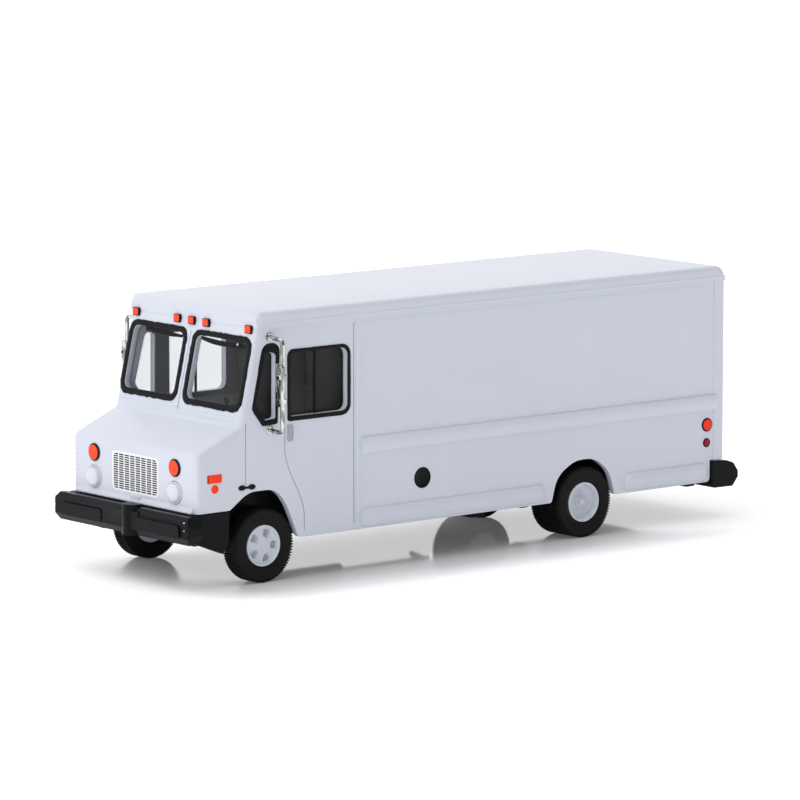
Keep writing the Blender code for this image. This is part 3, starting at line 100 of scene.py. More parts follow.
# Camera
CAMERA_PLACE = (0.76373, -0.62897, 0.16926)
CAMERA_AIM = (0.0, -0.001333, 0.026503)
CAMERA_LENS = 243.46

MARKER_PLACES = (-16.5, -4.25, 0.0, 4.25, 16.5)
MARKER_HEIGHT = 45.3


# ---------------------------------------------------------------- shader maths


class Value:
    """A socket of a node. Sums, differences and products of values add Math nodes."""

    def __init__(self, paint, socket):
        self.paint = paint
        self.socket = socket

    def __add__(self, other):
        return self.paint.math("ADD", self, other)

    __radd__ = __add__

    def __sub__(self, other):
        return self.paint.math("SUBTRACT", self, other)

    def __rsub__(self, other):
        return self.paint.math("SUBTRACT", other, self)

    def __mul__(self, other):
        return self.paint.math("MULTIPLY", self, other)

    __rmul__ = __mul__

    def __pow__(self, other):
        return self.paint.math("POWER", self, other)


class Paint:
    """A material or world and its nodes."""

    def __init__(self, owner):
        self.owner = owner
        owner.use_nodes = True
        self.tree = owner.node_tree

    def node(self, kind, settings=None, inputs=None, output=0):
        """Adds a node: its settings first, then the values or links of its sockets."""
        made = self.tree.nodes.new(kind)
        for name, setting in (settings or {}).items():
            if name == "stops":
                ramp = made.color_ramp.elements
                ramp.remove(ramp[1])
                for index, (place, shade) in enumerate(setting):
                    stop = ramp[0] if index == 0 else ramp.new(place)
                    stop.position = place
                    stop.color = (shade, shade, shade, 1)
            else:
                setattr(made, name, setting)
        for name, value in (inputs or {}).items():
            self.connect(made.inputs[name], value)
        return Value(self, made.outputs[output])

    def connect(self, socket, value):
        if isinstance(value, Value):
            self.tree.links.new(value.socket, socket)
        else:
            socket.default_value = value

    def math(self, operation, *values):
        return self.node("ShaderNodeMath", {"operation": operation}, dict(enumerate(values)))

    def place(self):
        """Object coordinates in millimetres."""
        metres = self.node("ShaderNodeTexCoord", output="Object")
        return self.node("ShaderNodeVectorMath", {"operation": "SCALE"}, {"Vector": metres, "Scale": 1 / MM})

    def noise(self, per_mm, detail=2.0, rough=0.5, stretch=(1, 1, 1)):
        """A noise from 0 to 1 whose grains are 1 / per_mm wide."""
        where = self.node("ShaderNodeMapping", {}, {"Vector": self.place(), "Scale": stretch})
        inputs = {"Vector": where, "Scale": per_mm, "Detail": detail, "Roughness": rough}
        return self.node("ShaderNodeTexNoise", {}, inputs)

    def ramp(self, value, *stops):
        return self.node("ShaderNodeValToRGB", {"stops": stops}, {"Fac": value})

    def blend(self, share, first, second):
        """A colour between two colours."""
        settings = {"data_type": "RGBA"}
        made = self.tree.nodes.new("ShaderNodeMix")
        made.data_type = settings["data_type"]
        self.connect(made.inputs["Factor"], share)
        self.connect(made.inputs["A"], first)
        self.connect(made.inputs["B"], second)
        return Value(self, made.outputs["Result"])

    def bump(self, height, depth):
        """A normal for a height from 0 to 1 that stands for a depth in millimetres."""
        return self.node("ShaderNodeBump", {}, {"Height": height, "Distance": depth * MM, "Strength": 1.0})


def material(name):
    made = bpy.data.materials.new(name)
    paint = Paint(made)
    shader = paint.tree.nodes["Principled BSDF"]
    return paint, shader


def fill(paint, shader, **inputs):
    """Sets the surface's sockets: an underscore in a name stands for a space."""
    for name, value in inputs.items():
        paint.connect(shader.inputs[name.replace("_", " ")], value)
    return paint.owner


def colour(red, green, blue):
    return (red, green, blue, 1.0)


# ---------------------------------------------------------------- materials


def white_enamel():
    """Thick white paint on a zinc casting: a cool white with a soft gloss and a faint orange peel."""
    paint, shader = material("white_enamel")
    cloud = paint.noise(0.09, 3.0)
    peel = paint.noise(1.3, 3.0)
    flow = paint.noise(0.28, 2.0)
    shade = paint.blend(cloud, colour(0.66, 0.695, 0.795), colour(0.705, 0.735, 0.825))
    relief = paint.bump(peel * 0.45 + flow, 0.08)
    return fill(paint, shader, Base_Color=shade, Roughness=0.3 + 0.1 * cloud, Normal=relief,
                Specular_IOR_Level=0.4)


def black_print():
    """Black ink printed over the casting, a little uneven."""
    paint, shader = material("black_print")
    grain = paint.noise(3.0, 3.0)
    shade = paint.blend(grain, colour(0.006, 0.006, 0.007), colour(0.014, 0.014, 0.016))
    return fill(paint, shader, Base_Color=shade, Roughness=0.26 + 0.16 * grain, Normal=paint.bump(grain, 0.008),
                Specular_IOR_Level=0.09)


def lamp_print(name, red, green, blue):
    """Bright lamp ink with a soft gloss, and a faint painted glow: an emission in the ink's colour, though the
    printed lamps give no light.
    """
    paint, shader = material(name)
    grain = paint.noise(1.6, 2.0)
    shade = paint.blend(grain, colour(red * 0.92, green * 0.8, blue * 0.8), colour(red, green, blue))
    # Painted glow: the emission makes the ink brighter than the light that falls on it.
    return fill(paint, shader, Base_Color=shade, Roughness=0.3 + 0.08 * grain, Normal=paint.bump(grain, 0.01),
                Specular_IOR_Level=0.2, Emission_Color=shade, Emission_Strength=0.14)


def black_plastic():
    """Satin moulded black plastic with a fine grain and faint flow marks."""
    paint, shader = material("black_plastic")
    grain = paint.noise(7.0, 2.0)
    flow = paint.noise(0.5, 3.0, 0.6, (0.3, 1, 1))
    shade = paint.blend(flow, colour(0.0055, 0.006, 0.0072), colour(0.0095, 0.0102, 0.0118))
    return fill(paint, shader, Base_Color=shade, Roughness=0.22 + 0.14 * flow,
                Normal=paint.bump(grain * 0.15 + flow, 0.03), Specular_IOR_Level=0.08)


def tyre_rubber():
    """Dull black tyre with a dusty bloom."""
    paint, shader = material("tyre_rubber")
    grain = paint.noise(6.0, 3.0)
    bloom = paint.noise(0.7, 3.0)
    shade = paint.blend(bloom, colour(0.006, 0.0062, 0.0065), colour(0.013, 0.013, 0.0135))
    return fill(paint, shader, Base_Color=shade, Roughness=0.55 + 0.2 * bloom, Normal=paint.bump(grain, 0.01),
                Specular_IOR_Level=0.14)


def hub_plastic():
    """Glossy white wheel plastic, a little greyer and bluer in soft random clouds."""
    paint, shader = material("hub_plastic")
    cloud = paint.noise(0.8, 2.0)
    shade = paint.blend(cloud, colour(0.56, 0.595, 0.7), colour(0.7, 0.725, 0.8))
    return fill(paint, shader, Base_Color=shade, Roughness=0.22 + 0.08 * cloud, Normal=paint.bump(cloud, 0.015),
                Coat_Weight=0.3, Coat_Roughness=0.1)


def chrome_plate():
    """Bright plating on moulded plastic, with the soft ripples of the moulding, and painted reflections: dark and
    bright streaks, long in height, in its colour.
    """
    paint, shader = material("chrome_plate")
    ripple = paint.noise(0.9, 2.0, 0.5, (1, 1, 0.3))
    # Painted reflection: the dark and bright streaks stand for the room reflected in the plating.
    painted_reflection_streaks = paint.ramp(paint.noise(1.5, 2.0, 0.5, (1, 1, 0.3)), (0.0, 0.0), (0.42, 0.1), (0.54, 0.9), (1.0, 1.0))
    shade = paint.blend(painted_reflection_streaks, colour(0.22, 0.22, 0.21), colour(0.74, 0.74, 0.71))
    return fill(paint, shader, Base_Color=shade, Metallic=1.0, Roughness=0.14 - 0.08 * painted_reflection_streaks,
                Normal=paint.bump(ripple, 0.14))


def clear_plastic():
    """The clear window moulding: see-through with a bright gloss that grows towards its edges."""
    paint, shader = material("clear_plastic")
    ripple = paint.noise(0.3, 2.0, 0.5, (1, 1, 0.25))
    relief = paint.bump(ripple, 0.04)
    facing = paint.node("ShaderNodeLayerWeight", {}, {"Blend": 0.5, "Normal": relief}, "Facing")
    gloss = 0.014 + 0.9 * facing**5
    through = paint.node("ShaderNodeBsdfTransparent", {}, {"Color": colour(0.93, 0.935, 0.94)})
    shine = paint.node("ShaderNodeBsdfGlossy", {}, {"Roughness": 0.03, "Normal": relief})
    mixed = paint.node("ShaderNodeMixShader", {}, {0: gloss, 1: through, 2: shine})
    paint.tree.nodes.remove(shader)
    paint.connect(paint.tree.nodes["Material Output"].inputs["Surface"], mixed)
    return paint.owner


def pearl_lens():
    """Milky headlamp plastic under a clear gloss."""
    paint, shader = material("pearl_lens")
    cloud = paint.noise(0.9, 2.0)
    shade = paint.blend(cloud, colour(0.68, 0.71, 0.78), colour(0.76, 0.785, 0.84))
    return fill(paint, shader, Base_Color=shade, Roughness=0.2 + 0.06 * cloud, Coat_Weight=0.35,
                Coat_Roughness=0.06, Normal=paint.bump(cloud, 0.02))


def moulded_grey(name, shade_low, shade_high, rough):
    """Plain moulded plastic of a grey, for the cab's tub and the exhaust."""
    paint, shader = material(name)
    grain = paint.noise(4.0, 2.0)
    flow = paint.noise(0.4, 3.0)
    first = colour(shade_low, shade_low * 1.03, shade_low * 1.1)
    second = colour(shade_high, shade_high * 1.03, shade_high * 1.1)
    return fill(paint, shader, Base_Color=paint.blend(flow, first, second), Roughness=rough + 0.1 * flow,
                Normal=paint.bump(grain, 0.002), Specular_IOR_Level=0.1)


def bright_steel():
    """Turned steel of the pins and screws, brushed round."""
    paint, shader = material("bright_steel")
    brushed = paint.noise(3.0, 2.0, 0.6, (6, 0.4, 0.4))
    shade = paint.blend(brushed, colour(0.42, 0.42, 0.43), colour(0.62, 0.62, 0.63))
    return fill(paint, shader, Base_Color=shade, Metallic=1.0, Roughness=0.25 + 0.15 * brushed,
                Normal=paint.bump(brushed, 0.01))


def silver_print():
    """Thin silver ink, for the doors' handle plates."""
    paint, shader = material("silver_print")
    grain = paint.noise(2.5, 3.0)
    shade = paint.blend(grain, colour(0.36, 0.38, 0.43), colour(0.52, 0.54, 0.6))
    return fill(paint, shader, Base_Color=shade, Metallic=0.25, Roughness=0.35 + 0.15 * grain,
                Normal=paint.bump(grain, 0.02))


def lattice_print():
    """White and silver bars of the grille."""
    paint, shader = material("lattice_print")
    grain = paint.noise(1.6, 2.0)
    shade = paint.blend(grain, colour(0.86, 0.88, 0.91), colour(0.95, 0.96, 0.97))
    return fill(paint, shader, Base_Color=shade, Roughness=0.28 + 0.1 * grain, Normal=paint.bump(grain, 0.008))


def studio_floor():
    """A pale light table, polished where the truck stands and matt beyond; its glow is turned down round the truck, a
    painted shade on the floor there.
    """
    paint, shader = material("studio_floor")
    axes = paint.node("ShaderNodeSeparateXYZ", {}, {"Vector": paint.place()})
    across = Value(paint, axes.socket.node.outputs["X"])
    along = Value(paint, axes.socket.node.outputs["Y"])
    beside = paint.math("MAXIMUM", paint.math("ABSOLUTE", across) - 17.0, 0.0)
    beyond = paint.math("MAXIMUM", paint.math("ABSOLUTE", along - 8.0) - 56.0, 0.0)
    away = paint.math("SQRT", beside * beside + beyond * beyond)
    # The glow falls away towards the truck, painting the floor greyer round it; the same ramp makes the floor
    # polished near the truck.
    polish_and_painted_shade = paint.ramp(away * (1 / 22.0), (0.0, 0.2), (0.35, 0.36), (0.6, 0.6), (0.85, 1.0))
    return fill(paint, shader, Base_Color=colour(0.9, 0.905, 0.91), Roughness=0.75 * polish_and_painted_shade - 0.09,
                Emission_Color=polish_and_painted_shade, Emission_Strength=0.34)


FINISHES = {
    "white_enamel": white_enamel(),
    "black_print": black_print(),
    "orange_print": lamp_print("orange_print", 0.97, 0.07, 0.016),
    "side_print": lamp_print("side_print", 0.95, 0.045, 0.01),
    "red_print": lamp_print("red_print", 0.92, 0.04, 0.012),
    "dark_red_print": lamp_print("dark_red_print", 0.3, 0.008, 0.012),
    "silver_print": silver_print(),
    "lattice_print": lattice_print(),
    "black_plastic": black_plastic(),
    "tyre_rubber": tyre_rubber(),
    "hub_plastic": hub_plastic(),
    "chrome_plate": chrome_plate(),
    "clear_plastic": clear_plastic(),
    "pearl_lens": pearl_lens(),
    "grey_plastic": moulded_grey("grey_plastic", 0.2, 0.28, 0.35),
    "dark_grey_plastic": moulded_grey("dark_grey_plastic", 0.02, 0.03, 0.5),
    "bright_steel": bright_steel(),
}


# ---------------------------------------------------------------- outlines and placing


def rounded(corners, steps=6):
    """An outline through (u, v, radius) corners, each turned into an arc."""
    outline = []
    for index, (u, v, radius) in enumerate(corners):
        here = Vector((u, v))
        before = (Vector(corners[index - 1][:2]) - here).normalized()
        after = (Vector(corners[(index + 1) % len(corners)][:2]) - here).normalized()
        half = before.angle(after) / 2
        centre = here + (before + after).normalized() * radius / math.sin(half)
        start = here + before * radius / math.tan(half) - centre
        end = here + after * radius / math.tan(half) - centre
        first = math.atan2(start.y, start.x)
        turn = (math.atan2(end.y, end.x) - first + math.pi) % math.tau - math.pi
        for step in range(steps + 1):
            angle = first + turn * step / steps
            outline.append((centre.x + radius * math.cos(angle), centre.y + radius * math.sin(angle)))
    return outline


def rectangle(low_u, low_v, high_u, high_v, radius=0.1, steps=6):
    corners = ((low_u, low_v), (high_u, low_v), (high_u, high_v), (low_u, high_v))
    return rounded([(u, v, radius) for u, v in corners], steps)


def disc(centre_u, centre_v, radius, sides=32):
    angles = [math.tau * index / sides for index in range(sides)]
    return [(centre_u + radius * math.cos(a), centre_v + radius * math.sin(a)) for a in angles]


def side_frame(side, out=0.0):
    """Station, height and distance out of a side panel, for the driver's side (1) or the other (-1)."""
    return Matrix(((0, 0, side, side * (PANEL + out)), (1, 0, 0, FRONT_AXLE), (0, 1, 0, 0), (0, 0, 0, 1)))


def front_frame(station, out=0.0):
    """Distance across, height and distance forward of a station."""
    return Matrix(((1, 0, 0, 0), (0, 0, -1, FRONT_AXLE + station - out), (0, 1, 0, 0), (0, 0, 0, 1)))


def rear_frame(out=0.0):
    return Matrix(((-1, 0, 0, 0), (0, 0, 1, FRONT_AXLE + REAR + out), (0, 1, 0, 0), (0, 0, 0, 1)))


def glass_frame(out=0.0):
    """Distance across, distance up the windshield and distance out of its face."""
    up = Vector((0, math.sin(RAKE), math.cos(RAKE)))
    outward = Vector((0, -math.cos(RAKE), math.sin(RAKE)))
    foot = Vector((0, FRONT_AXLE + COWL_STATION, WINDSHIELD_FOOT)) + outward * out
    columns = (Vector((1, 0, 0)), up, outward, foot)
    return Matrix([[column[row] for column in columns] for row in range(3)] + [[0, 0, 0, 1]])


def windshield_station(height):
    return COWL_STATION + (height - WINDSHIELD_FOOT) * math.tan(RAKE)


# ---------------------------------------------------------------- modelling


def loop_of(mesh, outline, depth=0.0):
    """A closed line of edges."""
    points = [mesh.verts.new((u, v, depth)) for u, v in outline]
    return [mesh.edges.new((a, b)) for a, b in zip(points, points[1:] + points[:1], strict=True)]


def raise_faces(mesh, faces, height):
    """Extrudes faces along their frame's third axis and returns the raised faces."""
    made = bmesh.ops.extrude_face_region(mesh, geom=faces, use_keep_orig=True)["geom"]
    points = [item for item in made if isinstance(item, bmesh.types.BMVert)]
    bmesh.ops.translate(mesh, verts=points, vec=(0, 0, height))
    return [item for item in made if isinstance(item, bmesh.types.BMFace)]


def soften(mesh, faces, width, segments=2):
    """Rounds the edges round raised faces."""
    inside = set(faces)
    edges = {edge for face in faces for edge in face.edges if not all(f in inside for f in edge.link_faces)}
    if width > 0:
        bmesh.ops.bevel(mesh, geom=list(edges), offset=width, offset_type="OFFSET", segments=segments,
                        profile=0.5, affect="EDGES", clamp_overlap=True, material=-1)


def add_plate(mesh, outline, low_w, high_w, edge=0.0, segments=2):
    """A flat outline raised from one depth to another, with a rounded upper edge."""
    part = bmesh.new()
    face = part.faces.new([part.verts.new((u, v, low_w)) for u, v in outline])
    soften(part, raise_faces(part, [face], high_w - low_w), edge, segments)
    merge(mesh, part)


def add_ring(mesh, outer, inner, low_w, high_w, edge=0.0, segments=2):
    """A frame between two outlines with the same number of points."""
    part = bmesh.new()
    edges = loop_of(part, outer, low_w) + loop_of(part, inner, low_w)
    faces = bmesh.ops.bridge_loops(part, edges=edges)["faces"]
    soften(part, raise_faces(part, faces, high_w - low_w), edge, segments)
    merge(mesh, part)


def merge(mesh, part):
    """Adds one bmesh to another."""
    data = bpy.data.meshes.new("part")
    part.to_mesh(data)
    part.free()
    mesh.from_mesh(data)
    bpy.data.meshes.remove(data)


def add_placed(mesh, part, where):
    bmesh.ops.transform(part, matrix=where, verts=part.verts)
    merge(mesh, part)


def turned(profile, steps=64):
    """A line of (x, radius) points turned a full circle about X."""
    part = bmesh.new()
    points = [part.verts.new((x, 0, radius)) for x, radius in profile]
    edges = [part.edges.new((a, b)) for a, b in zip(points, points[1:])]
    bmesh.ops.spin(part, geom=points + edges, axis=(1, 0, 0), cent=(0, 0, 0), angle=math.tau, steps=steps,
                   use_merge=True)
    bmesh.ops.remove_doubles(part, verts=part.verts, dist=1e-4)
    return part


def tube(points, radius, sides=12):
    """A round bar along a line of points, with closed ends."""
    curve = bpy.data.curves.new("bar", "CURVE")
    curve.dimensions = "3D"
    curve.bevel_depth = radius
    curve.bevel_resolution = (sides - 4) // 2
    curve.use_fill_caps = True
    spline = curve.splines.new("POLY")
    spline.points.add(len(points) - 1)
    for point, place in zip(spline.points, points, strict=True):
        point.co = (*place, 1)
    guide = bpy.data.objects.new("bar", curve)
    shape = bpy.data.meshes.new_from_object(guide)
    part = bmesh.new()
    part.from_mesh(shape)
    bpy.data.objects.remove(guide)
    bpy.data.meshes.remove(shape)
    bpy.data.curves.remove(curve)
    bmesh.ops.remove_doubles(part, verts=part.verts, dist=1e-4)
    return part


def bent(corners, steps=6):
    """A line through (x, y, z, radius) corners, with an arc at each corner that has a radius."""
    line = []
    for index, (x, y, z, radius) in enumerate(corners):
        here = Vector((x, y, z))
        if radius == 0:
            line.append(here)
            continue
        before = (Vector(corners[index - 1][:3]) - here).normalized()
        after = (Vector(corners[index + 1][:3]) - here).normalized()
        reach = radius / math.tan(before.angle(after) / 2)
        start, end = here + before * reach, here + after * reach
        for step in range(steps + 1):
            share = step / steps
            line.append(start * (1 - share) ** 2 + here * 2 * share * (1 - share) + end * share**2)
    return line


def shade(piece, angle=32.0):
    piece.data.shade_smooth()
    piece.data.set_sharp_from_angle(angle=math.radians(angle))


def finish_piece(name, mesh, finish, body="body", angle=32.0):
    """Makes an object of a bmesh drawn in millimetres, which rides on a body."""
    bmesh.ops.scale(mesh, vec=(MM, MM, MM), verts=mesh.verts)
    bmesh.ops.recalc_face_normals(mesh, faces=mesh.faces)
    data = bpy.data.meshes.new(name)
    mesh.to_mesh(data)
    mesh.free()
    piece = bpy.data.objects.new(name, data)
    bpy.context.scene.collection.objects.link(piece)
    data.materials.append(FINISHES[finish])
    shade(piece, angle)
    even = piece.modifiers.new("even_faces", "WEIGHTED_NORMAL")
    even.keep_sharp = True
    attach(piece, body)
    return piece


def refined(node, finish, body="body", edge=0.0, segments=2, angle=32.0):
    """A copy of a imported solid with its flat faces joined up, smooth rounds and softened edges."""
    mesh = bmesh.new()
    mesh.from_mesh(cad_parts[node].data)
    bmesh.ops.remove_doubles(mesh, verts=mesh.verts, dist=1e-6)
    bmesh.ops.dissolve_limit(mesh, angle_limit=math.radians(1), verts=mesh.verts, edges=mesh.edges)
    data = bpy.data.meshes.new(node + "_shell")
    mesh.to_mesh(data)
    mesh.free()
    piece = bpy.data.objects.new(node + "_shell", data)
    bpy.context.scene.collection.objects.link(piece)
    data.materials.append(FINISHES[finish])
    shade(piece, angle)
    if edge > 0:
        round_off = piece.modifiers.new("softened", "BEVEL")
        round_off.width = edge * MM
        round_off.segments = segments
        round_off.limit_method = "ANGLE"
        round_off.angle_limit = math.radians(angle)
        round_off.harden_normals = True
    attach(piece, body)
    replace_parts(piece, node)
    return piece


def wobbled(outline, amount, pitch, seed):
    """An outline whose points stray a little, as a printed edge does."""
    moved = []
    for u, v in outline:
        sway = noise.noise_vector(Vector((u / pitch + seed, v / pitch, seed)))
        moved.append((u + sway.x * amount, v + sway.y * amount))
    return moved


def finer(outline, longest):
    """An outline with points added so that no stretch is longer than a length."""
    points = []
    for (u, v), (next_u, next_v) in zip(outline, outline[1:] + outline[:1], strict=True):
        pieces = max(1, math.ceil(math.hypot(next_u - u, next_v - v) / longest))
        for index in range(pieces):
            share = index / pieces
            points.append((u + (next_u - u) * share, v + (next_v - v) * share))
    return points


def matched(outer, inner, longest):
    """Two outlines with the same number of points, split finely in step with each other."""
    pairs = list(zip(outer, inner, strict=True))
    outer_fine, inner_fine = [], []
    for (first, first_in), (last, last_in) in zip(pairs, pairs[1:] + pairs[:1], strict=True):
        pieces = max(1, math.ceil(math.dist(first, last) / longest))
        for index in range(pieces):
            share = index / pieces
            outer_fine.append(tuple(a + (b - a) * share for a, b in zip(first, last, strict=True)))
            inner_fine.append(tuple(a + (b - a) * share for a, b in zip(first_in, last_in, strict=True)))
    return outer_fine, inner_fine


# ---------------------------------------------------------------- the body's detail


def make_body():
    refined("body_casting", "white_enamel", edge=0.1, segments=2)


def make_window_seals():
    """The black seals round the windows, printed over a raised edge."""
    u_low, v_low, u_high, v_high, radius = PANE
    outer = rectangle(u_low - 1.0, v_low - 1.1, u_high + 1.0, v_high + 1.0, 2.1)
    inner = rectangle(u_low + 0.04, v_low + 0.04, u_high - 0.04, v_high - 0.04, radius)
    outer, inner = matched(outer, inner, 0.45)
    for side, label in ((1, "left"), (-1, "right")):
        part = bmesh.new()
        add_ring(part, wobbled(outer, 0.16, 0.7, 3.0 * side), inner, -0.05, 0.14, 0.06)
        bmesh.ops.scale(part, vec=(side, 1, 1), verts=part.verts)
        bmesh.ops.transform(part, matrix=glass_frame(), verts=part.verts)
        finish_piece(f"windshield_seal_{label}", part, "black_print", angle=50)
    front, floor, back, top = DOOR_WINDOW
    door_inner = rounded(((front, floor, 0.5), (back, floor, 1.4), (back, top, 1.4), (front, top, 0.7)))
    door_outer = rounded(((front - 0.65, floor - 0.8, 0.5), (back + 0.7, floor - 0.8, 2.0),
                          (back + 0.7, top + 0.65, 1.9), (front - 0.65, top + 0.65, 1.3)))
    vent_inner = rounded(VENT_WINDOW)
    vent_outer = rounded(((-0.45, 28.1, 0.8), (2.95, 28.25, 0.5), (3.5, 42.7, 1.6), (-0.3, 42.85, 2.0),
                          (-2.8, 31.2, 1.2)))
    for side, label in ((1, "left"), (-1, "right")):
        part = bmesh.new()
        outer, inner = matched(door_outer, door_inner, 0.6)
        add_ring(part, wobbled(outer, 0.04, 0.9, 1.0), inner, -0.05, 0.16, 0.06)
        outer, inner = matched(vent_outer, vent_inner, 0.6)
        add_ring(part, wobbled(outer, 0.05, 0.9, 2.0), inner, -0.05, 0.16, 0.06)
        bmesh.ops.transform(part, matrix=side_frame(side), verts=part.verts)
        finish_piece(f"side_window_seals_{label}", part, "black_print", angle=50)


def make_panes():
    """The windshield's panes, raised from the window moulding to fill their openings."""
    u_low, v_low, u_high, v_high, radius = PANE
    outline = rectangle(u_low + 0.1, v_low + 0.1, u_high - 0.1, v_high - 0.1, radius - 0.1)
    for side, label in ((1, "left"), (-1, "right")):
        part = bmesh.new()
        face = part.faces.new([part.verts.new((side * u, v, -PANE_SINK + 0.02)) for u, v in outline])
        raised = raise_faces(part, [face], PANE_SINK - 0.3)
        bmesh.ops.delete(part, geom=[face], context="FACES")
        soften(part, raised, 0.22, 3)
        bmesh.ops.transform(part, matrix=glass_frame(), verts=part.verts)
        finish_piece(f"windshield_pane_{label}", part, "clear_plastic", angle=50)


def bead(low_u, low_v, high_u, high_v, proud, rounds=9):
    """A half-round pressing: rounded outlines, each set in a little and raised a little further."""
    mesh = bmesh.new()
    reach = (high_v - low_v) / 2 - 0.12
    radius = reach + 0.1
    insets = [(0.0, -0.25)]
    for step in range(rounds + 1):
        angle = math.pi / 2 * step / rounds
        insets.append((reach * (1 - math.cos(angle)), proud * math.sin(angle)))
    rings = []
    for inset, height in insets:
        outline = rectangle(low_u + inset, low_v + inset, high_u - inset, high_v - inset, radius - inset, 8)
        rings.append(loop_of(mesh, outline, height))
    for lower, upper in zip(rings, rings[1:]):
        bmesh.ops.bridge_loops(mesh, edges=lower + upper)
    for ring in (rings[0], rings[-1]):
        bmesh.ops.edgeloop_fill(mesh, edges=ring)
    bmesh.ops.recalc_face_normals(mesh, faces=mesh.faces)
    return mesh


def make_ribs():
    """The belt rib and the rub rails on both sides, pressed outwards in full soft rounds."""
    belt_high = BELT_LOW + 2.87
    front = POST_STATION + POST_WIDTH
    rails = ((front - 3, 7.95, 65.6, 11.0), (85.5, 7.95, 106.0, 11.0), (front - 3, BELT_LOW + 0.05, 109.0, belt_high))
    for side, label in ((1, "left"), (-1, "right")):
        mesh = bmesh.new()
        for low_y, low_z, high_y, high_z in rails:
            part = bead(low_y, low_z, high_y, high_z, 0.72)
            if low_y < front:
                everything = part.verts[:] + part.edges[:] + part.faces[:]
                sliced = bmesh.ops.bisect_plane(part, geom=everything, plane_co=(front, 0, 0), plane_no=(-1, 0, 0),
                                                clear_outer=True)["geom_cut"]
                edges = [item for item in sliced if isinstance(item, bmesh.types.BMEdge)]
                bmesh.ops.holes_fill(part, edges=edges)
            add_placed(mesh, part, side_frame(side))
        finish_piece(f"side_ribs_{label}", mesh, "white_enamel", angle=60)


def make_door_mullions():
    """The black bar between the door window's two sliding panes."""
    front, floor, back, top = DOOR_WINDOW
    for side, label in ((1, "left"), (-1, "right")):
        part = bmesh.new()
        add_plate(part, rectangle(11.85, floor - 0.3, 12.25, top + 0.3, 0.05, 1), -PANE_SINK - 0.1,
                  -PANE_SINK + 0.25, 0.08)
        bmesh.ops.transform(part, matrix=side_frame(side), verts=part.verts)
        finish_piece(f"door_window_bar_{label}", part, "black_print")


def wiper(start, end, sag, thick):
    """A tapering curved blade between two points on the glass."""
    upper, lower = [], []
    start, end = Vector(start), Vector(end)
    across = Vector((start.y - end.y, end.x - start.x)).normalized()
    for step in range(13):
        share = step / 12
        middle = start.lerp(end, share) + across * sag * math.sin(math.pi * share)
        half = thick * (0.28 + 0.22 * math.sin(math.pi * min(1.0, share * 1.15)) ** 0.7)
        upper.append(tuple(middle + across * half))
        lower.append(tuple(middle - across * half))
    return lower + upper[::-1]


def make_wipers():
    part = bmesh.new()
    lean = math.cos(RAKE)
    height = {"left": ((3.0, 42.55), (14.6, 42.35)), "right": ((-13.5, 42.7), (-2.6, 42.25))}
    for label, sag in (("left", -0.35), ("right", -0.15)):
        start, end = [(u, (z - WINDSHIELD_FOOT) / lean) for u, z in height[label]]
        add_plate(part, wiper(start, end, sag, 0.95), -0.4, -0.18, 0.08)
    bmesh.ops.transform(part, matrix=glass_frame(), verts=part.verts)
    finish_piece("wipers", part, "black_print", angle=45)
    tip = bmesh.new()
    add_plate(tip, disc(13.6, (42.4 - WINDSHIELD_FOOT) / lean, 0.22, 12), -0.25, -0.1, 0.06)
    bmesh.ops.transform(tip, matrix=glass_frame(), verts=tip.verts)
    finish_piece("wiper_tip", tip, "pearl_lens")


def add_blocks(mesh, places, height, width, tall, low_w, high_w, edge, where, radius=0.12):
    part = bmesh.new()
    for place in places:
        outline = rectangle(place - width / 2, height - tall / 2, place + width / 2, height + tall / 2, radius, 4)
        add_plate(part, outline, low_w, high_w, edge)
    add_placed(mesh, part, where)


def make_marker_lamps():
    """Clearance lamps over the windshield and over the rear doors, each in a black surround."""
    pad = front_frame(windshield_station(MARKER_HEIGHT), 0.45)
    surrounds = bmesh.new()
    add_blocks(surrounds, MARKER_PLACES, MARKER_HEIGHT, 1.85, 1.45, -0.5, 0.05, 0.06, pad)
    add_blocks(surrounds, MARKER_PLACES, 44.45, 1.9, 1.4, -0.3, 0.4, 0.06, rear_frame())
    finish_piece("marker_surrounds", surrounds, "black_print")
    lenses = bmesh.new()
    places = [place - 0.05 for place in MARKER_PLACES]
    add_blocks(lenses, places, MARKER_HEIGHT + 0.05, 1.6, 1.22, -0.4, 0.16, 0.1, pad, 0.25)
    finish_piece("marker_lenses", lenses, "orange_print")
    rear = bmesh.new()
    add_blocks(rear, MARKER_PLACES, 44.45, 1.5, 1.05, 0.3, 0.44, 0.1, rear_frame(), 0.25)
    finish_piece("rear_marker_lenses", rear, "red_print")


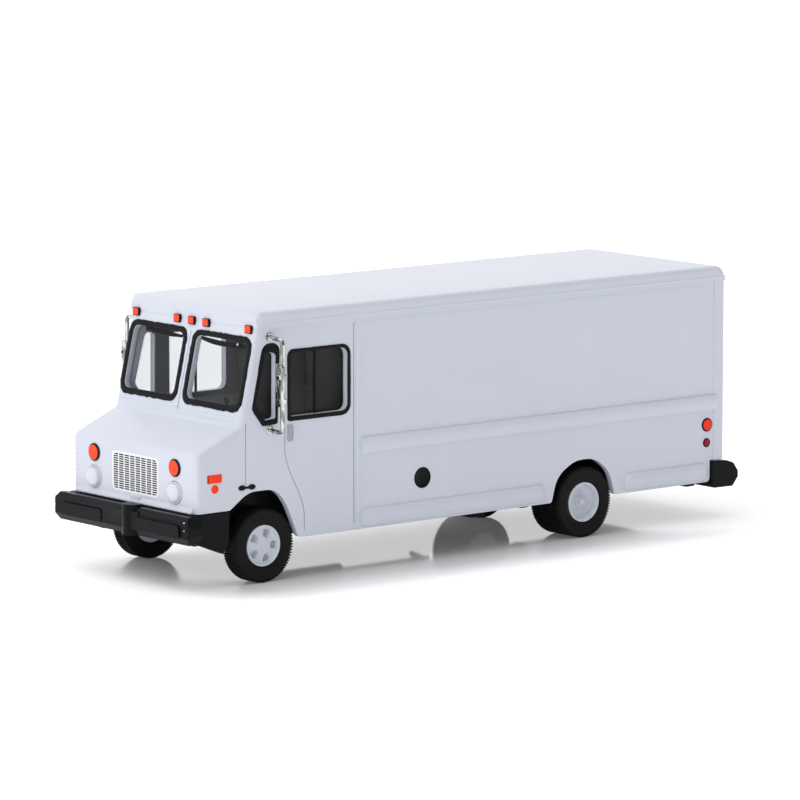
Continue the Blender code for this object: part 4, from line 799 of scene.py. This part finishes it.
def make_front_lamps():
    """Turn signals and headlamps."""
    rings, lenses = bmesh.new(), bmesh.new()
    for side in (-1, 1):
        ring, lens = bmesh.new(), bmesh.new()
        add_plate(ring, disc(side * LAMP_PLACE + 0.1, 21.38, 1.6, 48), 0.0, 0.27, 0.05)
        add_plate(lens, disc(side * LAMP_PLACE - 0.05, 21.34, 1.38, 48), 0.1, 0.36, 0.12, 3)
        add_placed(rings, ring, front_frame(NOSE))
        add_placed(lenses, lens, front_frame(NOSE))
    finish_piece("turn_signal_rings", rings, "black_print")
    finish_piece("turn_signal_lenses", lenses, "orange_print")
    radius = HEADLAMP_RADIUS
    proud = NOSE - (low("headlamp_left").y - FRONT_AXLE)
    profile = [(-0.7, 0), (-0.7, radius), (0.1, radius), (0.16, radius - 0.08), (0.16, radius - 0.2),
               (0.05, radius - 0.24), (0.05, radius - 0.28), (proud * 0.6, radius - 0.32)]
    profile += [(proud * (0.6 + 0.4 * math.cos(math.radians(a))), (radius - 0.32) * math.sin(math.radians(a)))
                for a in (78, 64, 50, 36, 24, 12, 0)]
    for side, label in ((1, "left"), (-1, "right")):
        lamp = turned(profile, 64)
        turn = Matrix.Rotation(math.radians(-90), 4, "Z")
        place = Matrix.Translation((side * LAMP_PLACE, FRONT_AXLE + NOSE, HEADLAMP_HEIGHT))
        bmesh.ops.transform(lamp, matrix=place @ turn, verts=lamp.verts)
        piece = finish_piece(f"headlamp_lens_{label}", lamp, "pearl_lens")
        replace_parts(piece, f"headlamp_{label}")


def make_grille():
    """A silver-white lattice face with rows of short black slots printed over it."""
    low_corner, high_corner = low("grille_insert"), high("grille_insert")
    low_corner = low_corner - Vector((0.35, 0, 0.3))
    high_corner = high_corner + Vector((1.0, 0, 0.15))
    middle = (low_corner.x + high_corner.x) / 2
    columns, rows = 8, 16
    border = 0.34
    width = (high_corner.x - low_corner.x) - 2 * border
    tall = (high_corner.z - low_corner.z) - 2 * border
    slot, bar = width / columns * 0.8, width / columns * 0.2
    mesh = bmesh.new()
    for column in range(columns):
        left = middle - width / 2 + bar / 2 + column * (slot + bar)
        for row in range(rows):
            bottom = low_corner.z + border + tall * (row + 0.22) / rows
            at_corner = column in (0, columns - 1) and row in (0, rows - 1)
            inwards = 0.3 * at_corner
            start = left + inwards * (column == 0)
            end = left + slot - inwards * (column > 0)
            outline = rectangle(start, bottom, end, bottom + tall / rows * 0.55, 0.06, 2)
            add_plate(mesh, outline, -0.3, 0.07)
    slots = bmesh.new()
    add_placed(slots, mesh, front_frame(NOSE))
    finish_piece("grille_slots", slots, "black_print")
    plate = bmesh.new()
    outline = rectangle(low_corner.x, low_corner.z, high_corner.x, high_corner.z, 1.0)
    add_plate(plate, outline, -0.8, 0.04)
    lattice = bmesh.new()
    add_placed(lattice, plate, front_frame(NOSE))
    piece = finish_piece("grille_face", lattice, "lattice_print")
    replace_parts(piece, "grille_insert")


def make_side_prints():
    """Lamps, latches and handle plates on both sides."""
    black, orange, red, silver = bmesh.new(), bmesh.new(), bmesh.new(), bmesh.new()
    dark = bmesh.new()
    for side in (-1, 1):
        where = side_frame(side)
        part = bmesh.new()
        for station in (-5.05, -2.85):
            blob = [(station + u * 1.75, 17.55 + v * 1.05) for u, v in disc(0, 0, 0.46, 24)]
            add_plate(part, blob, -0.05, 0.16, 0.06)
        add_plate(part, rectangle(-4.6, 17.32, -3.3, 17.72, 0.1, 3), -0.05, 0.12, 0.04)
        add_plate(part, disc(106.16, 18.32, 1.3, 40), -0.05, 0.14, 0.04)
        add_plate(part, disc(106.1, 14.9, 0.88, 32), -0.05, 0.12, 0.04)
        add_plate(part, rectangle(-12.68, 19.0, -12.3, 20.5, 0.1, 3), -0.05, 0.1, 0.03)
        add_placed(black, part, where)
        part = bmesh.new()
        add_plate(part, rectangle(-12.56, 19.0, -9.58, 20.5, 0.2, 3), 0.0, 0.17, 0.08)
        add_plate(part, disc(-11.07, 17.91, 0.76, 28), -0.05, 0.14, 0.06)
        add_placed(orange, part, where)
        part = bmesh.new()
        add_plate(part, disc(106.22, 18.32, 1.05, 36), 0.0, 0.24, 0.1, 3)
        add_placed(red, part, where)
        part = bmesh.new()
        add_plate(part, disc(106.12, 14.9, 0.68, 28), 0.0, 0.18, 0.07)
        add_placed(dark, part, where)
        part = bmesh.new()
        outer, inner = rectangle(5.1, 24.8, 6.5, 27.9, 0.5), rectangle(5.32, 25.02, 6.28, 27.68, 0.35)
        add_ring(part, outer, inner, -0.05, 0.14, 0.05)
        add_plate(part, rectangle(5.25, 24.95, 6.35, 27.75, 0.4), -0.05, 0.04)
        add_plate(part, rectangle(5.5, 25.9, 6.1, 27.4, 0.25), 0.0, 0.16, 0.06)
        add_placed(silver, part, where)
    finish_piece("side_ink", black, "black_print")
    finish_piece("side_marker_prints", orange, "side_print")
    finish_piece("rear_side_lamps", red, "red_print")
    finish_piece("rear_side_reflectors", dark, "dark_red_print")
    finish_piece("door_handle_plates", silver, "silver_print")


def make_fillers():
    """The fuel filler's black dish in its pocket."""
    for side, label in ((1, "left"), (-1, "right")):
        profile = [(-0.38, 0), (-0.38, 1.93), (0.02, 1.93), (0.06, 1.88), (0.06, 1.74), (-0.1, 1.66), (-0.24, 1.2),
                   (-0.26, 0.42), (-0.14, 0.34), (-0.12, 0)]
        dish = turned(profile, 48)
        place = Matrix.Translation((side * PANEL, FRONT_AXLE + 36.3, 15.25))
        turn = Matrix.Rotation(0 if side > 0 else math.pi, 4, "Z")
        bmesh.ops.transform(dish, matrix=place @ turn, verts=dish.verts)
        finish_piece(f"fuel_filler_{label}", dish, "black_print")


def make_rear_lamps():
    """Stop and tail lamps beside the rear doors, and the doors' handle."""
    red, silver = bmesh.new(), bmesh.new()
    where = rear_frame()
    for side in (-1, 1):
        part = bmesh.new()
        for height in (17.0, 20.6):
            add_plate(part, disc(side * 14.6, height, 1.05, 36), 0.2, 0.42, 0.1, 3)
        add_placed(red, part, where)
    part = bmesh.new()
    add_plate(part, rectangle(-1.05, 22.0, -0.55, 28.0, 0.15, 3), 0.3, 0.44, 0.06)
    add_placed(silver, part, where)
    finish_piece("rear_lamps", red, "red_print")
    finish_piece("rear_handle_print", silver, "silver_print")


def rivet(mesh, place, where, radius=0.19):
    part = bmesh.new()
    bmesh.ops.create_uvsphere(part, u_segments=8, v_segments=4, radius=radius)
    bmesh.ops.scale(part, vec=(1, 1, 0.55), verts=part.verts)
    bmesh.ops.translate(part, verts=part.verts, vec=(*place, 0))
    add_placed(mesh, part, where)


def make_rivets():
    """Rows of cast rivet heads."""
    mesh = bmesh.new()
    strip = STRIP_PROUD
    for side in (-1, 1):
        rows = (
            (side_frame(side), [(u * 1.15 + 58.0, BELT_LOW - 0.7) for u in range(18)]),
            (side_frame(side), [(u * 1.15 + 23.0, BELT_LOW + 3.6) for u in range(74)]),
            (side_frame(side), [(u * 1.15 + 23.0, CAP_LOW - 0.75) for u in range(74)]),
            (side_frame(side, strip), [(POST_STATION + POST_WIDTH / 2, 8.3 + v * 1.15) for v in range(32)]),
            (side_frame(side, strip), [(REAR - CORNER_STRIP + 0.5, 12.2 + v * 1.15) for v in range(29)]),
            (front_frame(NOSE), [(side * (PANEL - 1.1), 14.8 + v * 0.95) for v in range(9)]),
            (side_frame(side), [(u * 1.15 + 9.8, SILL + 0.6) for u in range(9)]),
            (side_frame(side), [(u * 1.15 + 22.9, SILL + 0.35) for u in range(9)]),
            (side_frame(side), [(u * 1.6 + 40.0, 17.4) for u in range(4)]),
        )
        for where, places in rows:
            for place in places:
                rivet(mesh, place, where)
    for index in range(38):
        rivet(mesh, ((index - 18.5) * 0.93, 0.62), glass_frame())
    for side in (-1, 1):
        for index in range(34):
            rivet(mesh, (side * 16.9, 13.0 + index * 0.95), rear_frame())
    finish_piece("rivets", mesh, "white_enamel")


def make_drip_rails():
    """The bead along the lower edge of the roof cap on both sides."""
    mesh = bmesh.new()
    start, end = windshield_station(CAP_LOW) + 0.5, REAR + CAP_PROUD - 0.2
    for side in (-1, 1):
        out = side * (PANEL + CAP_PROUD - 0.14)
        line = [(out, FRONT_AXLE + start + (end - start) * step / 8, 46.3) for step in range(9)]
        bar = tube(line, 0.26, 12)
        merge(mesh, bar)
    finish_piece("drip_rails", mesh, "white_enamel")


# ---------------------------------------------------------------- wheels


def tyre(width, radius, bore):
    """A tyre with rows of tread blocks that reach over its shoulders, and fine rings on its walls."""
    half = width / 2
    block = 0.34
    base = radius - block
    teeth = 80
    wall = [(half - 0.3, base), (half - 0.06, base - 0.2), (half - 0.02, base - 0.75), (half, base - 1.05),
            (half - 0.05, base - 1.2), (half - 0.05, base - 1.42), (half, base - 1.48), (half - 0.02, base - 1.75),
            (half - 0.14, base - 1.95), (half - 0.16, bore + 0.42), (half - 0.24, bore + 0.3),
            (half - 0.26, bore + 0.1), (half - 0.5, bore)]
    tread = [(0.55, base), (0.5, base - 0.12), (0.35, base - 0.12), (0.3, base), (-0.3, base), (-0.35, base - 0.12),
             (-0.5, base - 0.12), (-0.55, base)]
    profile = wall[::-1] + tread + [(-x, r) for x, r in wall]
    part = turned(profile + profile[:1], teeth * 2)
    part.normal_update()
    raised = []
    for face in part.faces:
        middle = face.calc_center_median()
        out = math.hypot(middle.y, middle.z)
        if out < base - 0.2 or 0.31 < abs(middle.x) < 0.54:
            continue
        sector = math.floor(math.atan2(middle.z, middle.y) / math.tau * teeth * 2 + 0.01)
        if sector % 2 == 0:
            raised.append(face)
    lifted = bmesh.ops.extrude_face_region(part, geom=raised)["geom"]
    points = {item for item in lifted if isinstance(item, bmesh.types.BMVert)}
    for point in points:
        out = Vector((0, point.co.y, point.co.z)).normalized()
        point.co += out * block * (0.98 if abs(point.co.x) < half - 0.1 else 0.8)
    bmesh.ops.delete(part, geom=raised, context="FACES_ONLY")
    return part


def front_hub(radius):
    """A front wheel: a bright lip and a flat raised spider between the hand holes."""
    half = 1.5
    profile = [(-half, 0.0), (-half, radius), (half + 0.1, radius), (half + 0.2, radius - 0.08),
               (half + 0.2, radius - 0.3), (half - 0.2, radius - 0.46), (half - 0.24, radius - 0.7),
               (half - 0.02, 2.0), (half + 0.08, 1.45), (half + 0.1, 0.5), (half + 0.1, 0.0)]
    return turned(profile, 80)


def hub_windows(count, distance, turn_by):
    """Cutters for the hand holes: rounded wedges, deep and leaning outwards."""
    part = bmesh.new()
    for index in range(count):
        outline = rounded(((-0.56, -0.86, 0.35), (0.56, -0.86, 0.35), (1.02, 0.7, 0.5), (-1.02, 0.7, 0.5)), 5)
        cutter = bmesh.new()
        add_plate(cutter, outline, 0.35, 1.75)
        for point in cutter.verts:
            if point.co.z < 1.0:
                point.co.x *= 0.74
                point.co.y = point.co.y * 0.74 + 0.1
        place = Matrix.Rotation(math.tau * index / count + turn_by, 4, "Z") @ Matrix.Translation((0, distance, 0))
        bmesh.ops.transform(cutter, matrix=place, verts=cutter.verts)
        merge(part, cutter)
    turn = Matrix(((0, 0, 1, 0), (1, 0, 0, 0), (0, 1, 0, 0), (0, 0, 0, 1)))
    bmesh.ops.transform(part, matrix=turn, verts=part.verts)
    return part


def rear_hub(radius):
    """A deep dished rear wheel with stepped rings and a small centre cap."""
    half = 1.5
    profile = [(-half, 0.0), (-half, radius), (half + 0.12, radius), (half + 0.2, radius - 0.08),
               (half + 0.18, radius - 0.36), (half - 0.1, radius - 0.5), (half - 0.9, radius - 0.62),
               (half - 1.0, radius - 0.8), (half - 1.0, radius - 1.2), (half - 1.12, radius - 1.3),
               (half - 1.12, 1.3), (half - 1.0, 1.15), (half - 0.72, 1.05), (half - 0.66, 0.95), (half - 0.66, 0.72),
               (half - 0.3, 0.66), (half - 0.24, 0.58), (half - 0.24, 0.34), (half - 0.36, 0.28), (half - 0.36, 0.0)]
    return turned(profile, 80)


def plain_hub(radius):
    half = 1.5
    profile = [(-half, 0.64), (-half, radius), (half, radius), (half, radius - 0.35), (half - 0.5, radius - 0.7),
               (half - 0.5, 0.64)]
    return turned(profile + profile[:1], 64)


def cut(piece, cutter):
    """Cuts a piece with another, which is then removed."""
    piece.modifiers.clear()
    step = piece.modifiers.new("cut", "BOOLEAN")
    step.operation = "DIFFERENCE"
    step.solver = "EXACT"
    step.use_self = True
    step.object = cutter
    bpy.context.view_layer.update()
    graph = bpy.context.evaluated_depsgraph_get()
    data = bpy.data.meshes.new_from_object(piece.evaluated_get(graph))
    piece.modifiers.clear()
    piece.data = data
    bpy.data.objects.remove(cutter)


def place_wheel(mesh, node):
    """Moves a part drawn about the origin to a packed wheel's place, its outer face outwards."""
    middle = (low(node) + high(node)) / 2
    outward = 1 if middle.x > 0 else -1
    turn = Matrix.Rotation(0 if outward > 0 else math.pi, 4, "Z")
    bmesh.ops.transform(mesh, matrix=Matrix.Translation(middle) @ turn, verts=mesh.verts)


def make_wheels():
    kinds = (("front", "front", front_hub), ("rear_outer", "rear", rear_hub), ("rear_inner", "rear", plain_hub))
    for prefix, axle, hub in kinds:
        body = axle + "_axle"
        for label in ("left", "right"):
            node = f"{prefix}_tyre_{label}"
            rubber = tyre(TYRE_WIDTH, TYRE_RADIUS, HUB_RADIUS + 0.06)
            place_wheel(rubber, node)
            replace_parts(finish_piece(node + "_tread", rubber, "tyre_rubber", body, 28), node)
            centre = hub(HUB_RADIUS)
            place_wheel(centre, node)
            piece = finish_piece(f"{prefix}_wheel_{label}", centre, "hub_plastic", body, 40)
            if hub is front_hub:
                windows = hub_windows(5, 2.35, math.radians(-19))
                place_wheel(windows, node)
                cut(piece, finish_piece("windows", windows, "hub_plastic", body))
                shade(piece, 40)
                soft = piece.modifiers.new("softened", "BEVEL")
                soft.width = 0.14 * MM
                soft.segments = 2
                soft.limit_method = "ANGLE"
                soft.angle_limit = math.radians(50)
            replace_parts(piece, f"{prefix}_hub_{label}")


# ---------------------------------------------------------------- mirrors, bumpers and the rest


def make_mirrors():
    """Plated mirror bars with clamps, a tall head and a small plate beside it."""
    top, bottom = 43.9, 27.3
    screws = bmesh.new()
    for side, label, spread, lead in ((1, "left", 0.0, 0.0), (-1, "right", 1.2, 1.2)):
        out = PANEL + 3.2 + spread
        y = FRONT_AXLE + 1.2
        bar_y = y - lead
        mesh = bmesh.new()
        line = bent(((PANEL - 0.6, y, top, 0), (out, bar_y + 0.5, top - 0.3, 1.1),
                     (out, bar_y + 0.4, bottom - 0.3, 1.1), (PANEL - 0.6, y, bottom, 0)))
        merge(mesh, tube([(side * p.x, p.y, p.z) for p in line], 0.4, 14))
        for height in (top, bottom):
            foot = bmesh.new()
            add_plate(foot, disc(1.2, height, 0.8, 24), 0.0, 0.3, 0.14, 3)
            add_placed(mesh, foot, side_frame(side))
        head = bmesh.new()
        add_plate(head, rectangle(out - 0.62, 31.75, out + 0.72, 39.2, 0.5), -0.4, 0.3, 0.2, 3)
        add_plate(head, rectangle(out - 1.25, 34.2, out - 0.82, 39.35, 0.18), -0.35, 0.1, 0.1, 3)
        add_plate(head, rectangle(out - 1.2, 38.6, out - 0.3, 39.1, 0.12), -0.3, 0.05, 0.08, 2)
        add_plate(head, rectangle(out - 1.2, 34.4, out - 0.3, 34.9, 0.12), -0.3, 0.05, 0.08, 2)
        for height in (32.8, 37.1):
            outline = rectangle(out - 0.62, height - 0.5, out + 0.62, height + 0.5, 0.25)
            add_plate(head, outline, -0.9, 0.5, 0.18, 3)
            screw = bmesh.new()
            add_plate(screw, disc(side * (out + 0.05), height, 0.24, 12), 0.45, 0.56, 0.04)
            add_placed(screws, screw, Matrix(((1, 0, 0, 0), (0, 0, -1, bar_y - 0.1), (0, 1, 0, 0), (0, 0, 0, 1))))
        bmesh.ops.scale(head, vec=(side, 1, 1), verts=head.verts)
        add_placed(mesh, head, Matrix(((1, 0, 0, 0), (0, 0, -1, bar_y - 0.1), (0, 1, 0, 0), (0, 0, 0, 1))))
        piece = finish_piece(f"mirror_{label}_plated", mesh, "chrome_plate", angle=40)
        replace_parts(piece, f"mirror_{label}")
    finish_piece("mirror_screws", screws, "black_print")


def make_bumpers():
    refined("front_bumper", "black_plastic", edge=0.22, segments=3, angle=20)
    face = low("front_bumper").y + 0.42 - FRONT_AXLE
    pads, bolts = bmesh.new(), bmesh.new()
    for side in (-1, 1):
        part = bmesh.new()
        outline = rectangle(5.3, 9.75, 17.6, 12.1, 0.7)
        add_plate(part, [(side * u, v) for u, v in outline], -0.3, 0.06, 0.06, 2)
        add_placed(pads, part, front_frame(face))
        for height in (11.4, 12.8):
            part = bmesh.new()
            bmesh.ops.create_uvsphere(part, u_segments=12, v_segments=6, radius=0.17)
            bmesh.ops.translate(part, verts=part.verts, vec=(side * 19.2, height, -0.1))
            add_placed(bolts, part, front_frame(face))
    finish_piece("front_bumper_pads", pads, "black_plastic")
    finish_piece("front_bumper_bolts", bolts, "chrome_plate")
    refined("rear_bumper", "black_plastic", edge=0.32, segments=4, angle=15)


def make_underside():
    refined("chassis_base", "black_plastic", edge=0.06)
    refined("front_suspension", "black_plastic", edge=0.05)
    refined("rear_suspension", "black_plastic", edge=0.05)
    refined("driveshaft", "black_plastic", edge=0.05)
    refined("exhaust_system", "grey_plastic", edge=0.05)
    refined("base_screw_front", "bright_steel", edge=0.08)
    refined("base_screw_rear", "bright_steel", edge=0.08)
    refined("front_axle_pin", "bright_steel", "front_axle", edge=0.08)
    refined("rear_axle_pin", "bright_steel", "rear_axle", edge=0.08)


def make_cab():
    refined("window_insert", "clear_plastic", edge=0.12)
    refined("interior_tub", "dark_grey_plastic", edge=0.1)
    refined("driver_seat", "dark_grey_plastic", edge=0.4, segments=3)
    refined("steering_wheel", "black_plastic")


# ---------------------------------------------------------------- studio


def make_floor():
    mesh = bmesh.new()
    bmesh.ops.create_grid(mesh, x_segments=1, y_segments=1, size=4.0)
    data = bpy.data.meshes.new("floor")
    mesh.to_mesh(data)
    mesh.free()
    floor = bpy.data.objects.new("floor", data)
    bpy.context.scene.collection.objects.link(floor)
    data.materials.append(studio_floor())


def make_world():
    """A white backdrop, with the room's light softer from the driver's side and from behind."""
    world = bpy.data.worlds.new("studio")
    bpy.context.scene.world = world
    paint = Paint(world)
    axes = paint.node("ShaderNodeSeparateXYZ", {}, {"Vector": paint.node("ShaderNodeTexCoord", output="Generated")})
    across, along, up = [Value(paint, axes.socket.node.outputs[name]) for name in "XYZ"]
    shaded = paint.math("MAXIMUM", across * 0.9 + along * 0.43, 0.0)
    overhead = paint.math("MAXIMUM", across * -0.2 + along * -0.38 + up * 0.9, 0.0)
    behind = paint.math("MAXIMUM", along * 0.64 - across * 0.77, 0.0)
    seen = paint.node("ShaderNodeLightPath", output="Is Camera Ray")
    room = 0.6 - 0.46 * shaded + 0.62 * overhead + 0.55 * behind**3
    back = paint.tree.nodes["Background"]
    paint.connect(back.inputs["Strength"], room + seen * (1.02 - room))
    back.inputs["Color"].default_value = (1, 1, 1, 1)


def make_lights():
    lamp = bpy.data.lights.new("overhead", "AREA")
    lamp.energy = 0.35
    lamp.size = 0.35
    light = bpy.data.objects.new("overhead", lamp)
    bpy.context.scene.collection.objects.link(light)
    light.location = (0.1, -0.35, 0.6)
    light.rotation_euler = (Vector((0, 0, 0)) - light.location).to_track_quat("-Z", "Y").to_euler()


def make_camera():
    lens = bpy.data.cameras.new("camera")
    lens.lens = CAMERA_LENS
    lens.sensor_width = 36
    lens.clip_start = 0.05
    camera = bpy.data.objects.new("camera", lens)
    bpy.context.scene.collection.objects.link(camera)
    camera.location = CAMERA_PLACE
    camera.rotation_euler = (Vector(CAMERA_AIM) - camera.location).to_track_quat("-Z", "Y").to_euler()
    bpy.context.scene.camera = camera


make_camera()
make_world()
make_lights()
make_floor()
make_body()
make_window_seals()
make_panes()
make_ribs()
make_door_mullions()
make_wipers()
make_marker_lamps()
make_front_lamps()
make_grille()
make_side_prints()
make_fillers()
make_rear_lamps()
make_rivets()
make_drip_rails()
make_wheels()
make_mirrors()
make_bumpers()
make_underside()
make_cab()
bpy.context.scene.view_settings.view_transform = "Standard"
